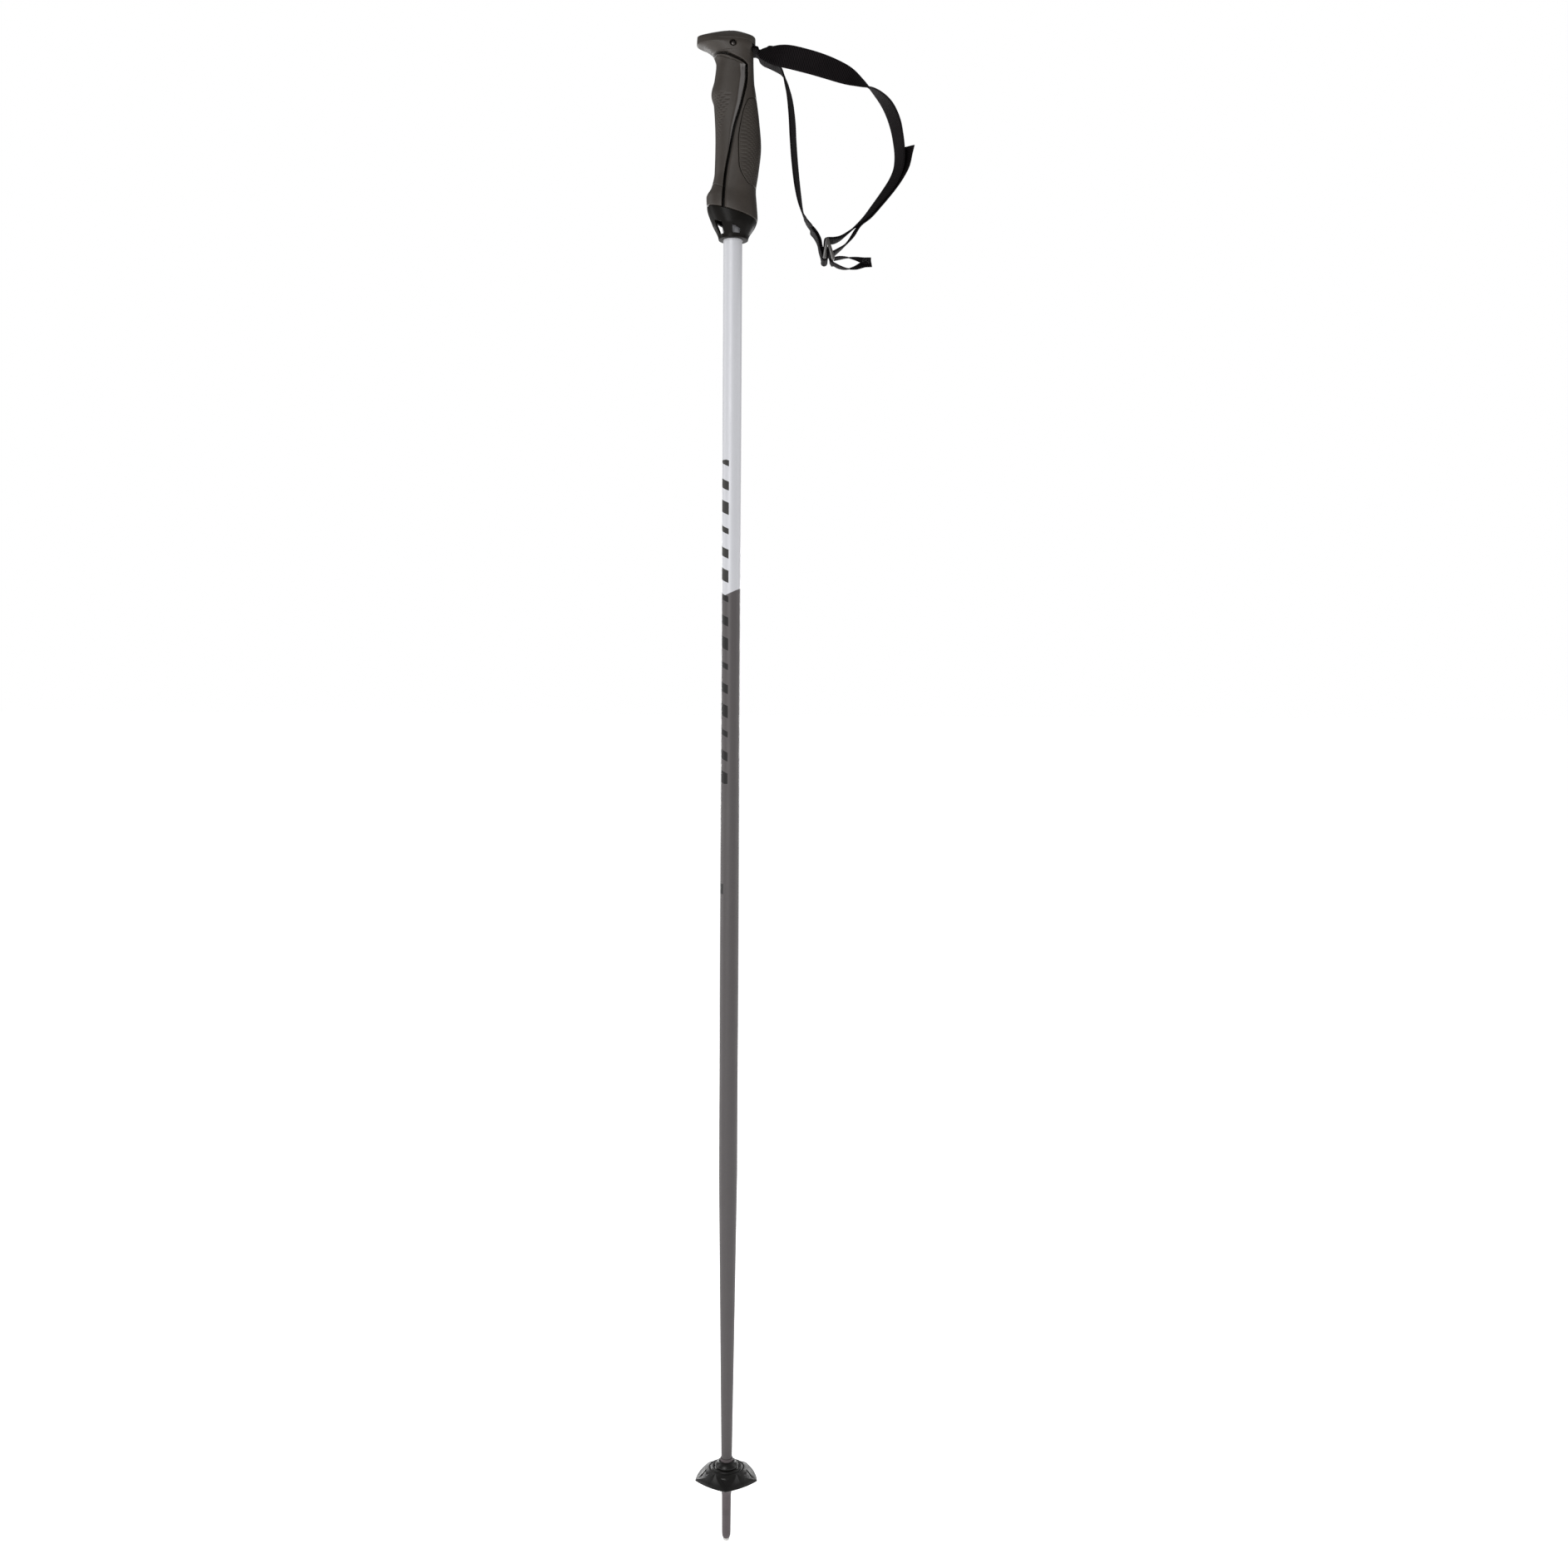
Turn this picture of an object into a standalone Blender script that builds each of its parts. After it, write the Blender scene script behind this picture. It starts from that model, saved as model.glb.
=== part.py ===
"""Alpine ski pole: tapered alloy tube, moulded grip, webbing wrist strap, snow basket and steel tip.

Metres, +Z up. The origin is the centre of the steel tip's flat end, and the tube's axis is Z.
-X is the front of the grip (the beak), +X is the rear, where the wrist strap leaves the head.
"""
import math

import bmesh
import bpy
from mathutils import Vector

MM = 0.001
GAP = 0.3 * MM                      # clearance between neighbouring solids

# Tube
TUBE_RADIUS = 8.0 * MM
TUBE_WALL = 1.0 * MM
TUBE_BOTTOM = 50.0 * MM
TUBE_TOP = 1264.0 * MM
TAPER_START = 322.0 * MM            # the tube is straight above this height
TAPER_SLOPE = 0.0134                # loss of radius per length below it

# Tip, ferrule and basket
TIP_RADIUS = 2.8 * MM
TIP_HEIGHT = 2.3 * MM               # how far the steel stands out of the ferrule
TIP_STEM_RADIUS = 2.2 * MM
TIP_STEM_TOP = 24.0 * MM
FERRULE_BOTTOM = TIP_HEIGHT + GAP
FERRULE_TOP = 73.0 * MM
FERRULE_RADIUS = 5.5 * MM
FERRULE_FLANGE_TOP = 49.4 * MM
BASKET_CORNER_RADIUS = 28.2 * MM
BASKET_EDGE_RADIUS = 25.0 * MM      # from the axis to the middle of a convex edge
BASKET_SIDES = 5
BASKET_HUB_TOP = 70.6 * MM

# Grip: front and rear outlines, half depth and how square the section is, each against height
GRIP_FRONT = [(1124.0, -12.2), (1137, -17.6), (1150, -22.0), (1159, -22.6), (1167, -18.5), (1180, -15.8),
              (1206, -15.2), (1236, -16.6), (1245, -18.8), (1257, -16.2), (1270, -14.8), (1279, -18.0),
              (1284, -24.5), (1287.5, -31.2), (1292, -31.0), (1296.8, -22.8), (1299, -14.2), (1300, -5.0)]
GRIP_REAR = [(1124.0, 13.0), (1137, 19.6), (1142, 21.0), (1154, 20.2), (1165, 19.4), (1180, 21.4),
             (1202, 23.6), (1223, 22.0), (1245, 19.1), (1257, 17.4), (1279, 16.7), (1284, 18.2),
             (1292, 18.3), (1296.1, 10.2), (1298.3, 3.7), (1300, -4.0)]
GRIP_SIDE = [(1124.0, 12.6), (1137, 17.0), (1150, 18.0), (1165, 16.4), (1200, 15.6), (1240, 15.2),
             (1270, 14.6), (1284, 15.2), (1292, 14.8), (1296.8, 11.0), (1299, 6.0), (1300, 0.4)]
GRIP_SQUARENESS = [(1124.0, 2.0), (1150, 2.3), (1240, 2.5), (1300, 2.6)]
GRIP_BEAK_TAPER = [(1124.0, 0.0), (1260, 0.0), (1284, 0.22), (1300, 0.22)]
GRIP_SEGMENTS = 28
GRIP_STEP = 5.0 * MM
GRIP_DOME_START = 1290.0 * MM
GRIP_BOTTOM = 1124.0 * MM
GRIP_TOP = 1300.0 * MM
SHELL_DEPTH = 3.2 * MM              # from the grip's surface to the hard core
PAD_DEPTH = 1.4 * MM
CORE_TOP = 1271.0 * MM
GROOVE_WIDTH = 1.4 * MM
# The parting line between finger side and head, from under the beak down to the collar
GROOVE_LINE = [(-45.0, 1286.5), (-24.8, 1283.3), (-9.1, 1281.1), (1.7, 1276.8), (10.3, 1271.4),
               (11.8, 1261.8), (7.6, 1240.3), (1.3, 1218.8), (-2.9, 1197.3), (-6.6, 1175.8),
               (-7.9, 1154.3), (-8.4, 1120.0)]
COLLAR_EDGE_FRONT = (-30.0, 1153.6)  # the collar's upper edge falls towards the rear
COLLAR_EDGE_REAR = (30.0, 1136.6)
COLLAR_WALL = 2.2 * MM
COLLAR_FLOOR = 2.4 * MM
COLLAR_WINDOWS = ((45.0, 1137.4), (104.0, 1132.4))  # angle from the front on both sides, top in mm
COLLAR_WINDOW_SLOPE = -0.42

# Wrist strap
PIN_X = 0.0
PIN_Z = 1284.3 * MM
PIN_RADIUS = 2.0 * MM
PIN_HEAD_RADIUS = 2.5 * MM
PIN_HALF_LENGTH = 14.0 * MM
WEB_WIDTH = 20.0 * MM
WEB_THICKNESS = 1.5 * MM
LAYER_PITCH = 1.9 * MM              # from one layer of webbing to the next
SLOT_HALF_WIDTH = 10.8 * MM
STRAP_HINGE = (20.5, 1282.3)        # where the strap bends outside the slot, in mm
BAR_RADIUS = 1.1 * MM
TOP_BAR = (80.0, 1122.2)
FOLD_BAR = (77.9, 1107.9)
LEVER_BAR = (84.9, 1107.2)
SLIDER_INNER_HALF = 10.5 * MM
SLIDER_SIDE = 1.8 * MM
TAB_WIDTH = 11.0 * MM
TAB_THICKNESS = 1.2 * MM

# Routes of the webbing: x and z in mm, its turn in degrees out of the crosswise direction, and y in mm
LONG_SIDE = [(21.0, 1283.2, 0), (24.5, 1282.8, 22), (30.5, 1280.6, 62), (38.2, 1276.6, 86), (54.7, 1272.6, 90),
             (70.4, 1268.6, 88), (84.0, 1264.6, 78), (97.0, 1260.3, 60), (109.9, 1255.0, 24), (117.8, 1250.8, 0),
             (125.4, 1244.2, -16), (131.5, 1236.0, -26), (137.0, 1223.1, -31), (139.8, 1210.0, -33),
             (141.1, 1197.3, -33), (140.2, 1186.0, -31), (137.2, 1177.5, -28), (133.1, 1170.2, -26),
             (121.1, 1154.3, -20), (113.4, 1144.9, -16), (105.5, 1137.6, -12), (97.5, 1131.0, -8),
             (90.5, 1126.2, -4), (85.4, 1124.6, 0)]
SLIDER_WRAP = [(80.0, 1124.35, 0), (78.48, 1123.72, 0), (77.85, 1122.2, 0), (78.1, 1118.2, 0),
               (79.4, 1114.6, 0), (81.8, 1112.6, 0), (84.4, 1112.9, 0)]
TAIL = [(88.6, 1115.6, 4), (94.4, 1119.9, 9), (100.4, 1126.4, 12)]
TAIL_END = (143.2, 1201.2, 33)
SHORT_SIDE = [(21.0, 1281.1, 0, 1.2), (24.5, 1277.3, 0, 3.8), (30.5, 1272.4, 0, 5.2), (36.0, 1268.8, 0, 5.0),
              (40.6, 1264.6, 4, 3.8), (43.4, 1259.2, 9, 2.4), (45.3, 1253.2, 12, 1.2), (47.5, 1244.6, 14, 0.4),
              (49.6, 1227.0, 16, 0), (50.6, 1210.2, 16, 0), (52.3, 1188.7, 16, 0), (55.2, 1165.0, 14, 0),
              (58.3, 1150.0, 8, 0), (61.9, 1141.4, 3, 0), (66.6, 1135.2, 0, 0)]
FOLD_MAIN = [(67.4, 1134.2, 0, 0), (71.6, 1129.0, 0, 0), (74.4, 1123.4, 0, 0), (75.6, 1117.6, 0, 0),
             (77.3, 1113.0, 0, 0)]


def clear_scene():
    """Start from an empty scene."""
    for stale in list(bpy.data.objects):
        bpy.data.objects.remove(stale, do_unlink=True)


def finish(name, color, roughness, metallic):
    """One Principled material of one plain colour."""
    material = bpy.data.materials.new(name)
    material.use_nodes = True
    shader = material.node_tree.nodes["Principled BSDF"]
    shader.inputs["Base Color"].default_value = (*color, 1.0)
    shader.inputs["Roughness"].default_value = roughness
    shader.inputs["Metallic"].default_value = metallic
    return material


def add_object(name, bm, material=None, origin=(0.0, 0.0, 0.0)):
    """Store a closed bmesh built in world coordinates as an object whose origin is given."""
    bmesh.ops.remove_doubles(bm, verts=bm.verts, dist=0.001 * MM)
    bmesh.ops.recalc_face_normals(bm, faces=bm.faces)
    bmesh.ops.translate(bm, verts=bm.verts, vec=-Vector(origin))
    mesh = bpy.data.meshes.new(name)
    bm.to_mesh(mesh)
    bm.free()
    mesh.shade_smooth()
    mesh.set_sharp_from_angle(angle=math.radians(35))
    if material:
        mesh.materials.append(material)
    thing = bpy.data.objects.new(name, mesh)
    thing.location = origin
    bpy.context.scene.collection.objects.link(thing)
    return thing


def as_guide(thing):
    """Mark an object as a cutter that is no part of the model."""
    thing.hide_render = True
    thing.display_type = "WIRE"
    return thing


def boolean(thing, cutter, operation):
    """Add an exact Boolean modifier."""
    modifier = thing.modifiers.new(operation.title() + "_" + cutter.name, "BOOLEAN")
    modifier.operation = operation
    modifier.solver = "EXACT"
    modifier.object = cutter


def stitch(bm, rings, closed_path):
    """Join rings of vertices into a skin, with end caps unless the path is closed."""
    count = len(rings[0])
    pairs = list(zip(rings, rings[1:]))
    if closed_path:
        pairs.append((rings[-1], rings[0]))
    for lower, upper in pairs:
        for i in range(count):
            j = (i + 1) % count
            bm.faces.new((lower[i], lower[j], upper[j], upper[i]))
    if not closed_path:
        bm.faces.new(list(reversed(rings[0])))
        bm.faces.new(rings[-1])


def turned(profile, segments, center=(0.0, 0.0), along_y=False):
    """A closed (radius, height) profile spun about Z, or about a Y line through center (x, z)."""
    bm = bmesh.new()
    rings = []
    for k in range(segments):
        angle = 2.0 * math.pi * k / segments
        ring = []
        for radius, height in profile:
            across, up = radius * math.cos(angle), radius * math.sin(angle)
            if along_y:
                ring.append(bm.verts.new((center[0] + across, height, center[1] + up)))
            else:
                ring.append(bm.verts.new((center[0] + across, center[1] + up, height)))
        rings.append(ring)
    stitch(bm, rings, closed_path=True)
    bmesh.ops.remove_doubles(bm, verts=bm.verts, dist=0.001 * MM)
    bmesh.ops.dissolve_degenerate(bm, edges=bm.edges, dist=0.001 * MM)
    return bm


def prism(outline_mm, low_y, high_y):
    """An outline in the XZ plane, in mm, extruded between two depths along Y."""
    bm = bmesh.new()
    rings = [[bm.verts.new((x * MM, y, z * MM)) for x, z in outline_mm] for y in (low_y, high_y)]
    stitch(bm, rings, closed_path=False)
    return bm


def curve_value(points_mm, height):
    """Smooth value at a height, read from (height, value) points without overshoot."""
    z = height / MM
    if z <= points_mm[0][0]:
        return points_mm[0][1] * MM
    if z >= points_mm[-1][0]:
        return points_mm[-1][1] * MM
    k = next(i for i in range(len(points_mm) - 1) if points_mm[i + 1][0] >= z)

    def slope(i):
        if i == 0 or i == len(points_mm) - 1:
            return 0.0
        before = (points_mm[i][1] - points_mm[i - 1][1]) / (points_mm[i][0] - points_mm[i - 1][0])
        after = (points_mm[i + 1][1] - points_mm[i][1]) / (points_mm[i + 1][0] - points_mm[i][0])
        return 0.0 if before * after <= 0.0 else 2.0 * before * after / (before + after)

    span = points_mm[k + 1][0] - points_mm[k][0]
    t = (z - points_mm[k][0]) / span
    start, end = points_mm[k][1], points_mm[k + 1][1]
    value = (start * (2 * t**3 - 3 * t**2 + 1) + span * slope(k) * (t**3 - 2 * t**2 + t)
             + end * (3 * t**2 - 2 * t**3) + span * slope(k + 1) * (t**3 - t**2))
    return value * MM


def grip_ring(bm, height, inset):
    """One horizontal section of the grip, moved inwards by inset."""
    front = curve_value(GRIP_FRONT, height) + inset
    rear = curve_value(GRIP_REAR, height) - inset
    half_depth = max(curve_value(GRIP_SIDE, height) - inset, 0.2 * MM)
    power = 2.0 / (curve_value(GRIP_SQUARENESS, height) / MM)
    taper = curve_value(GRIP_BEAK_TAPER, height) / MM
    middle, half_length = (front + rear) / 2, max((rear - front) / 2, 0.4 * MM)
    ring = []
    for k in range(GRIP_SEGMENTS):
        angle = 2.0 * math.pi * k / GRIP_SEGMENTS
        c, s = math.cos(angle), math.sin(angle)
        x = middle + half_length * math.copysign(abs(c)**power, c)
        y = half_depth * math.copysign(abs(s)**power, s) * (1.0 + taper * c)
        ring.append(bm.verts.new((x, y, height)))
    return ring


def grip_body(inset, bottom, top):
    """The grip's whole outer form between two heights, moved inwards by inset."""
    straight_top = min(top, GRIP_DOME_START)
    steps = max(2, round((straight_top - bottom) / GRIP_STEP))
    heights = [bottom + (straight_top - bottom) * k / steps for k in range(steps + 1)]
    dome_steps = 7
    if top > GRIP_DOME_START:
        rise = top - GRIP_DOME_START
        heights += [GRIP_DOME_START + rise * math.sin(0.5 * math.pi * k / dome_steps)
                    for k in range(1, dome_steps + 1)]
    bm = bmesh.new()
    stitch(bm, [grip_ring(bm, height, inset) for height in heights], closed_path=False)
    return bm


def groove_side(offset):
    """The parting line moved sideways by offset (positive towards the finger side)."""
    shifted = []
    for k, (x, z) in enumerate(GROOVE_LINE):
        before = GROOVE_LINE[max(k - 1, 0)]
        after = GROOVE_LINE[min(k + 1, len(GROOVE_LINE) - 1)]
        run, fall = after[0] - before[0], after[1] - before[1]
        length = math.hypot(run, fall)
        shifted.append((x + offset / MM * fall / length, z - offset / MM * run / length))
    return shifted


def collar_edge(drop):
    """The slanted upper edge of the collar, lowered by drop."""
    return [(x, z - drop / MM) for x, z in (COLLAR_EDGE_FRONT, COLLAR_EDGE_REAR)]


def smooth_route(points, pitch):
    """Points every pitch along a smooth curve through (x, z, turn, y) stations."""
    route = []
    for k in range(len(points) - 1):
        p0, p1 = points[max(k - 1, 0)], points[k]
        p2, p3 = points[k + 1], points[min(k + 2, len(points) - 1)]
        gap = math.dist(p1[:2], p2[:2])
        before = max(math.dist(p0[:2], p1[:2]), 0.001)
        after = max(math.dist(p2[:2], p3[:2]), 0.001)
        count = max(1, round(gap / (pitch / MM)))
        for step in range(count):
            t = step / count
            place = []
            for a, b, c, d in zip(p0, p1, p2, p3):
                leave = ((b - a) / before + (c - b) / gap) * gap / 2 if k > 0 else c - b
                arrive = ((c - b) / gap + (d - c) / after) * gap / 2 if k < len(points) - 2 else c - b
                place.append(b * (2 * t**3 - 3 * t**2 + 1) + leave * (t**3 - 2 * t**2 + t)
                             + c * (3 * t**2 - 2 * t**3) + arrive * (t**3 - t**2))
            route.append(tuple(place))
    route.append(tuple(points[-1]))
    return route


def near_edge_straight(stations):
    """Add y to (x, z, turn) stations so that the band's edge on the -Y side stays in one plane."""
    half = WEB_WIDTH / MM / 2
    return [(x, z, turn, -half * (1.0 - math.cos(math.radians(turn)))) for x, z, turn in stations]


def webbing(route, width, thickness):
    """A flat band swept along (x, z, turn, y) points: at no turn its width lies along Y."""
    bm = bmesh.new()
    rings = []
    for k, (x, z, turn, y) in enumerate(route):
        before, after = route[max(k - 1, 0)], route[min(k + 1, len(route) - 1)]
        tangent = Vector((after[0] - before[0], 0.0, after[1] - before[1])).normalized()
        upward = Vector((-tangent.z, 0.0, tangent.x))
        angle = math.radians(turn)
        across = Vector((0.0, math.cos(angle), 0.0)) + upward * math.sin(angle)
        face = across.cross(tangent)
        middle = Vector((x, y, z)) * MM
        rings.append([bm.verts.new(middle + across * (a * width / 2) + face * (f * thickness / 2))
                      for a, f in ((-1, -1), (1, -1), (1, 1), (-1, 1))])
    stitch(bm, rings, closed_path=False)
    return bm


def beside(route, pitch):
    """A route moved sideways in its plane by pitch (positive to the left of its direction)."""
    moved = []
    for k, (x, z, turn, y) in enumerate(route):
        before, after = route[max(k - 1, 0)], route[min(k + 1, len(route) - 1)]
        run, rise = after[0] - before[0], after[1] - before[1]
        length = math.hypot(run, rise)
        shift = pitch / MM
        moved.append((x - shift * rise / length, z + shift * run / length, turn, y))
    return moved


def arc(center, radius, start, end, steps):
    """(x, z, turn, y) stations along an arc, angles in degrees from +X towards +Z."""
    points = []
    for k in range(steps + 1):
        angle = math.radians(start + (end - start) * k / steps)
        points.append((center[0] + radius / MM * math.cos(angle),
                       center[1] + radius / MM * math.sin(angle), 0, 0))
    return points


def tube_radius(height):
    """Outer radius of the tube at a height."""
    return TUBE_RADIUS - TAPER_SLOPE * max(0.0, TAPER_START - height)


def build_pole(painted, plastic, steel, basket_plastic):
    """Tube, ferrule, steel tip and basket."""
    outer = [(tube_radius(z), z) for z in (TUBE_BOTTOM, TAPER_START, TUBE_TOP)]
    inner = [(radius - TUBE_WALL, z) for radius, z in reversed(outer)]
    add_object("shaft_tube", turned(outer + inner, 32), painted)

    add_object("tip_insert", turned([
        (0.0, 0.0), (TIP_RADIUS - 0.4 * MM, 0.0), (TIP_RADIUS, 0.5 * MM), (TIP_RADIUS, TIP_HEIGHT),
        (TIP_STEM_RADIUS, TIP_HEIGHT), (TIP_STEM_RADIUS, TIP_STEM_TOP), (0.0, TIP_STEM_TOP)], 24), steel)

    bore = TIP_STEM_RADIUS + 0.2 * MM
    socket_gap = 0.2 * MM
    socket_floor = TUBE_BOTTOM - GAP
    add_object("tip_ferrule", turned([
        (bore, FERRULE_BOTTOM), (3.0 * MM, FERRULE_BOTTOM), (3.6 * MM, 4.2 * MM), (3.75 * MM, 7.0 * MM),
        (4.0 * MM, 40.0 * MM), (4.5 * MM, 44.0 * MM), (6.9 * MM, 47.0 * MM), (6.9 * MM, FERRULE_FLANGE_TOP),
        (FERRULE_RADIUS, FERRULE_FLANGE_TOP), (FERRULE_RADIUS, FERRULE_TOP - 0.5 * MM),
        (FERRULE_RADIUS - 0.2 * MM, FERRULE_TOP), (tube_radius(FERRULE_TOP) + socket_gap, FERRULE_TOP),
        (tube_radius(socket_floor) + socket_gap, socket_floor), (0.0, socket_floor),
        (0.0, TIP_STEM_TOP + GAP), (bore, TIP_STEM_TOP + GAP)], 24), plastic)

    build_basket(basket_plastic)


def basket_edge_radius(angle):
    """Rim radius of the five-cornered basket: convex arcs between the corners, one corner at -Y."""
    sector = 2.0 * math.pi / BASKET_SIDES
    away = (angle + math.pi / 2) % sector - sector / 2
    half_chord = BASKET_CORNER_RADIUS * math.sin(sector / 2)
    chord_distance = BASKET_CORNER_RADIUS * math.cos(sector / 2)
    bulge = BASKET_EDGE_RADIUS - chord_distance
    arc_radius = (half_chord**2 + bulge**2) / (2.0 * bulge)
    arc_center = BASKET_EDGE_RADIUS - arc_radius
    return arc_center * math.cos(away) + math.sqrt(arc_radius**2 - (arc_center * math.sin(away))**2)


def build_basket(material):
    """Shallow five-cornered dish on a hub that turns on the ferrule."""
    bore = FERRULE_RADIUS + GAP
    hub_bottom = FERRULE_FLANGE_TOP + GAP
    steps_per_side = 8
    round_inner = [(8.4, hub_bottom / MM), (8.6, 59.5), (11.0, 62.6), (14.8, 61.6)]
    rim = [(-2.2, 56.6), (-0.7, 56.0), (0.0, 56.6), (0.0, 57.2)]
    round_outer = [(15.6, 64.4), (13.2, 65.8), (9.4, 65.9), (10.1, 68.2), (9.3, 70.1), (7.8, 70.6)]
    count = BASKET_SIDES * steps_per_side
    bm = bmesh.new()
    rings = []
    for k in range(count):
        angle = 2.0 * math.pi * k / count - math.pi / 2
        edge = basket_edge_radius(angle)
        profile = [(bore, hub_bottom)] + [(r * MM, z * MM) for r, z in round_inner]
        profile += [(edge + r * MM, z * MM) for r, z in rim]
        profile += [(r * MM, z * MM) for r, z in round_outer]
        profile += [(bore, BASKET_HUB_TOP - 1.0 * MM)]
        rings.append([bm.verts.new((r * math.cos(angle), r * math.sin(angle), z)) for r, z in profile])
    stitch(bm, rings, closed_path=True)
    add_object("basket", bm, material)


def window_cutter(name, angle_from_front, top):
    """A prism that cuts one window of the collar, pointing outwards at an angle from the front."""
    angle = math.radians(180.0 - angle_from_front)
    outward = Vector((math.cos(angle), math.sin(angle), 0.0))
    across = Vector((-outward.y, outward.x, 0.0))
    half_width = 4.0
    low_half = 3.0
    bottom = 1127.2
    lean = COLLAR_WINDOW_SLOPE * across.x * half_width
    corners = [(-low_half, bottom), (low_half, bottom), (half_width, top + lean), (-half_width, top - lean)]
    bm = bmesh.new()
    rings = [[bm.verts.new(outward * (reach * MM) + across * (s * MM) + Vector((0.0, 0.0, z * MM)))
              for s, z in corners] for reach in (9.0, 30.0)]
    stitch(bm, rings, closed_path=False)
    return as_guide(add_object(name, bm))


def build_collar(material):
    """Hollow windowed skirt at the foot of the grip, under a slanted edge."""
    collar = add_object("grip_collar", grip_body(0.0, GRIP_BOTTOM, 1160.0 * MM), material)
    (front_x, front_z), (rear_x, rear_z) = collar_edge(0.0)
    below = prism([(-60, 1100), (60, 1100), (60, rear_z + (rear_z - front_z) * 0.5), (rear_x, rear_z),
                   (front_x, front_z), (-60, front_z - (rear_z - front_z) * 0.5)], -60 * MM, 60 * MM)
    boolean(collar, as_guide(add_object("collar_region", below)), "INTERSECT")
    hollow = grip_body(COLLAR_WALL, GRIP_BOTTOM + COLLAR_FLOOR, 1165.0 * MM)
    boolean(collar, as_guide(add_object("collar_hollow", hollow)), "DIFFERENCE")
    neck = turned([(0.0, 1100 * MM), (TUBE_RADIUS + GAP, 1100 * MM), (TUBE_RADIUS + GAP, 1140 * MM),
                   (0.0, 1140 * MM)], 28)
    boolean(collar, as_guide(add_object("collar_neck", neck)), "DIFFERENCE")
    for angle, top in COLLAR_WINDOWS:
        for side in (-1, 1):
            label = "collar_window_%d_%s" % (angle, "right" if side > 0 else "left")
            boolean(collar, window_cutter(label, side * angle, top), "DIFFERENCE")


def build_grip(core_plastic, shell_rubber, pad_rubber, collar_plastic):
    """Hard core with the two soft sides of the grip, the palm pad and the collar."""
    above = [(60, 1320), (-60, 1320)]
    (front_x, front_z), (rear_x, rear_z) = collar_edge(-GAP)
    core = add_object("grip_core", grip_body(SHELL_DEPTH + GAP, 1130 * MM, CORE_TOP), core_plastic)
    over_collar = as_guide(add_object("over_collar", prism(
        [(front_x * 2, front_z - (rear_z - front_z) * 0.5), (front_x, front_z), (rear_x, rear_z),
         (rear_x * 2, rear_z + (rear_z - front_z) * 0.5)] + above, -60 * MM, 60 * MM)))
    boolean(core, over_collar, "INTERSECT")
    bore_top = TUBE_TOP + 2.4 * MM
    bore = TUBE_RADIUS + GAP
    core_bore = turned([(0.0, 1100 * MM), (bore, 1100 * MM), (bore, bore_top), (0.0, bore_top)], 28)
    boolean(core, as_guide(add_object("core_bore", core_bore)), "DIFFERENCE")

    core_space = as_guide(add_object("core_space", grip_body(SHELL_DEPTH, 1100 * MM, CORE_TOP + GAP)))
    finger_region = prism(groove_side(GROOVE_WIDTH / 2) + [(-60, 1120)], -60 * MM, 60 * MM)
    finger = add_object("grip_finger_pad", grip_body(0.0, GRIP_BOTTOM, GRIP_TOP), shell_rubber)
    boolean(finger, as_guide(add_object("finger_region", finger_region)), "INTERSECT")
    boolean(finger, over_collar, "INTERSECT")
    boolean(finger, core_space, "DIFFERENCE")

    head_region = prism(groove_side(-GROOVE_WIDTH / 2) + [(60, 1120)] + above, -60 * MM, 60 * MM)
    head = add_object("grip_head", grip_body(0.0, GRIP_BOTTOM, GRIP_TOP), shell_rubber)
    boolean(head, as_guide(add_object("head_region", head_region)), "INTERSECT")
    boolean(head, over_collar, "INTERSECT")
    boolean(head, core_space, "DIFFERENCE")
    cut_strap_slot(head)

    pad_outline = [(60, 1166.0), (22.0, 1166.0), (13.0, 1169.0), (5.6, 1184.0), (5.0, 1204.0),
                   (8.0, 1224.0), (13.0, 1238.0), (20.0, 1241.5), (60, 1241.5)]
    pad = add_object("grip_palm_pad", grip_body(0.0, 1160 * MM, 1247 * MM), pad_rubber)
    pad_region = as_guide(add_object("pad_region", prism(pad_outline, -60 * MM, 60 * MM)))
    boolean(pad, pad_region, "INTERSECT")
    boolean(pad, as_guide(add_object("pad_back", grip_body(PAD_DEPTH, 1150 * MM, 1255 * MM))), "DIFFERENCE")
    wider = [(x - (0.0 if x > 50 else 0.3), z + (0.3 if z > 1205 else -0.3)) for x, z in pad_outline]
    recess = as_guide(add_object("pad_recess", prism(wider, -60 * MM, 60 * MM)))
    floor = as_guide(add_object("pad_floor", grip_body(PAD_DEPTH + GAP, 1150 * MM, 1255 * MM)))
    boolean(recess, floor, "DIFFERENCE")
    boolean(head, recess, "DIFFERENCE")

    build_collar(collar_plastic)
    plug_radius = TUBE_RADIUS - TUBE_WALL - GAP
    plug_step = TUBE_TOP + GAP
    add_object("shaft_plug", turned([
        (0.0, TUBE_TOP - 10 * MM), (plug_radius, TUBE_TOP - 10 * MM), (plug_radius, plug_step),
        (TUBE_RADIUS, plug_step), (TUBE_RADIUS, plug_step + 1.6 * MM), (0.0, plug_step + 1.6 * MM)], 20),
        core_plastic)


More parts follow.
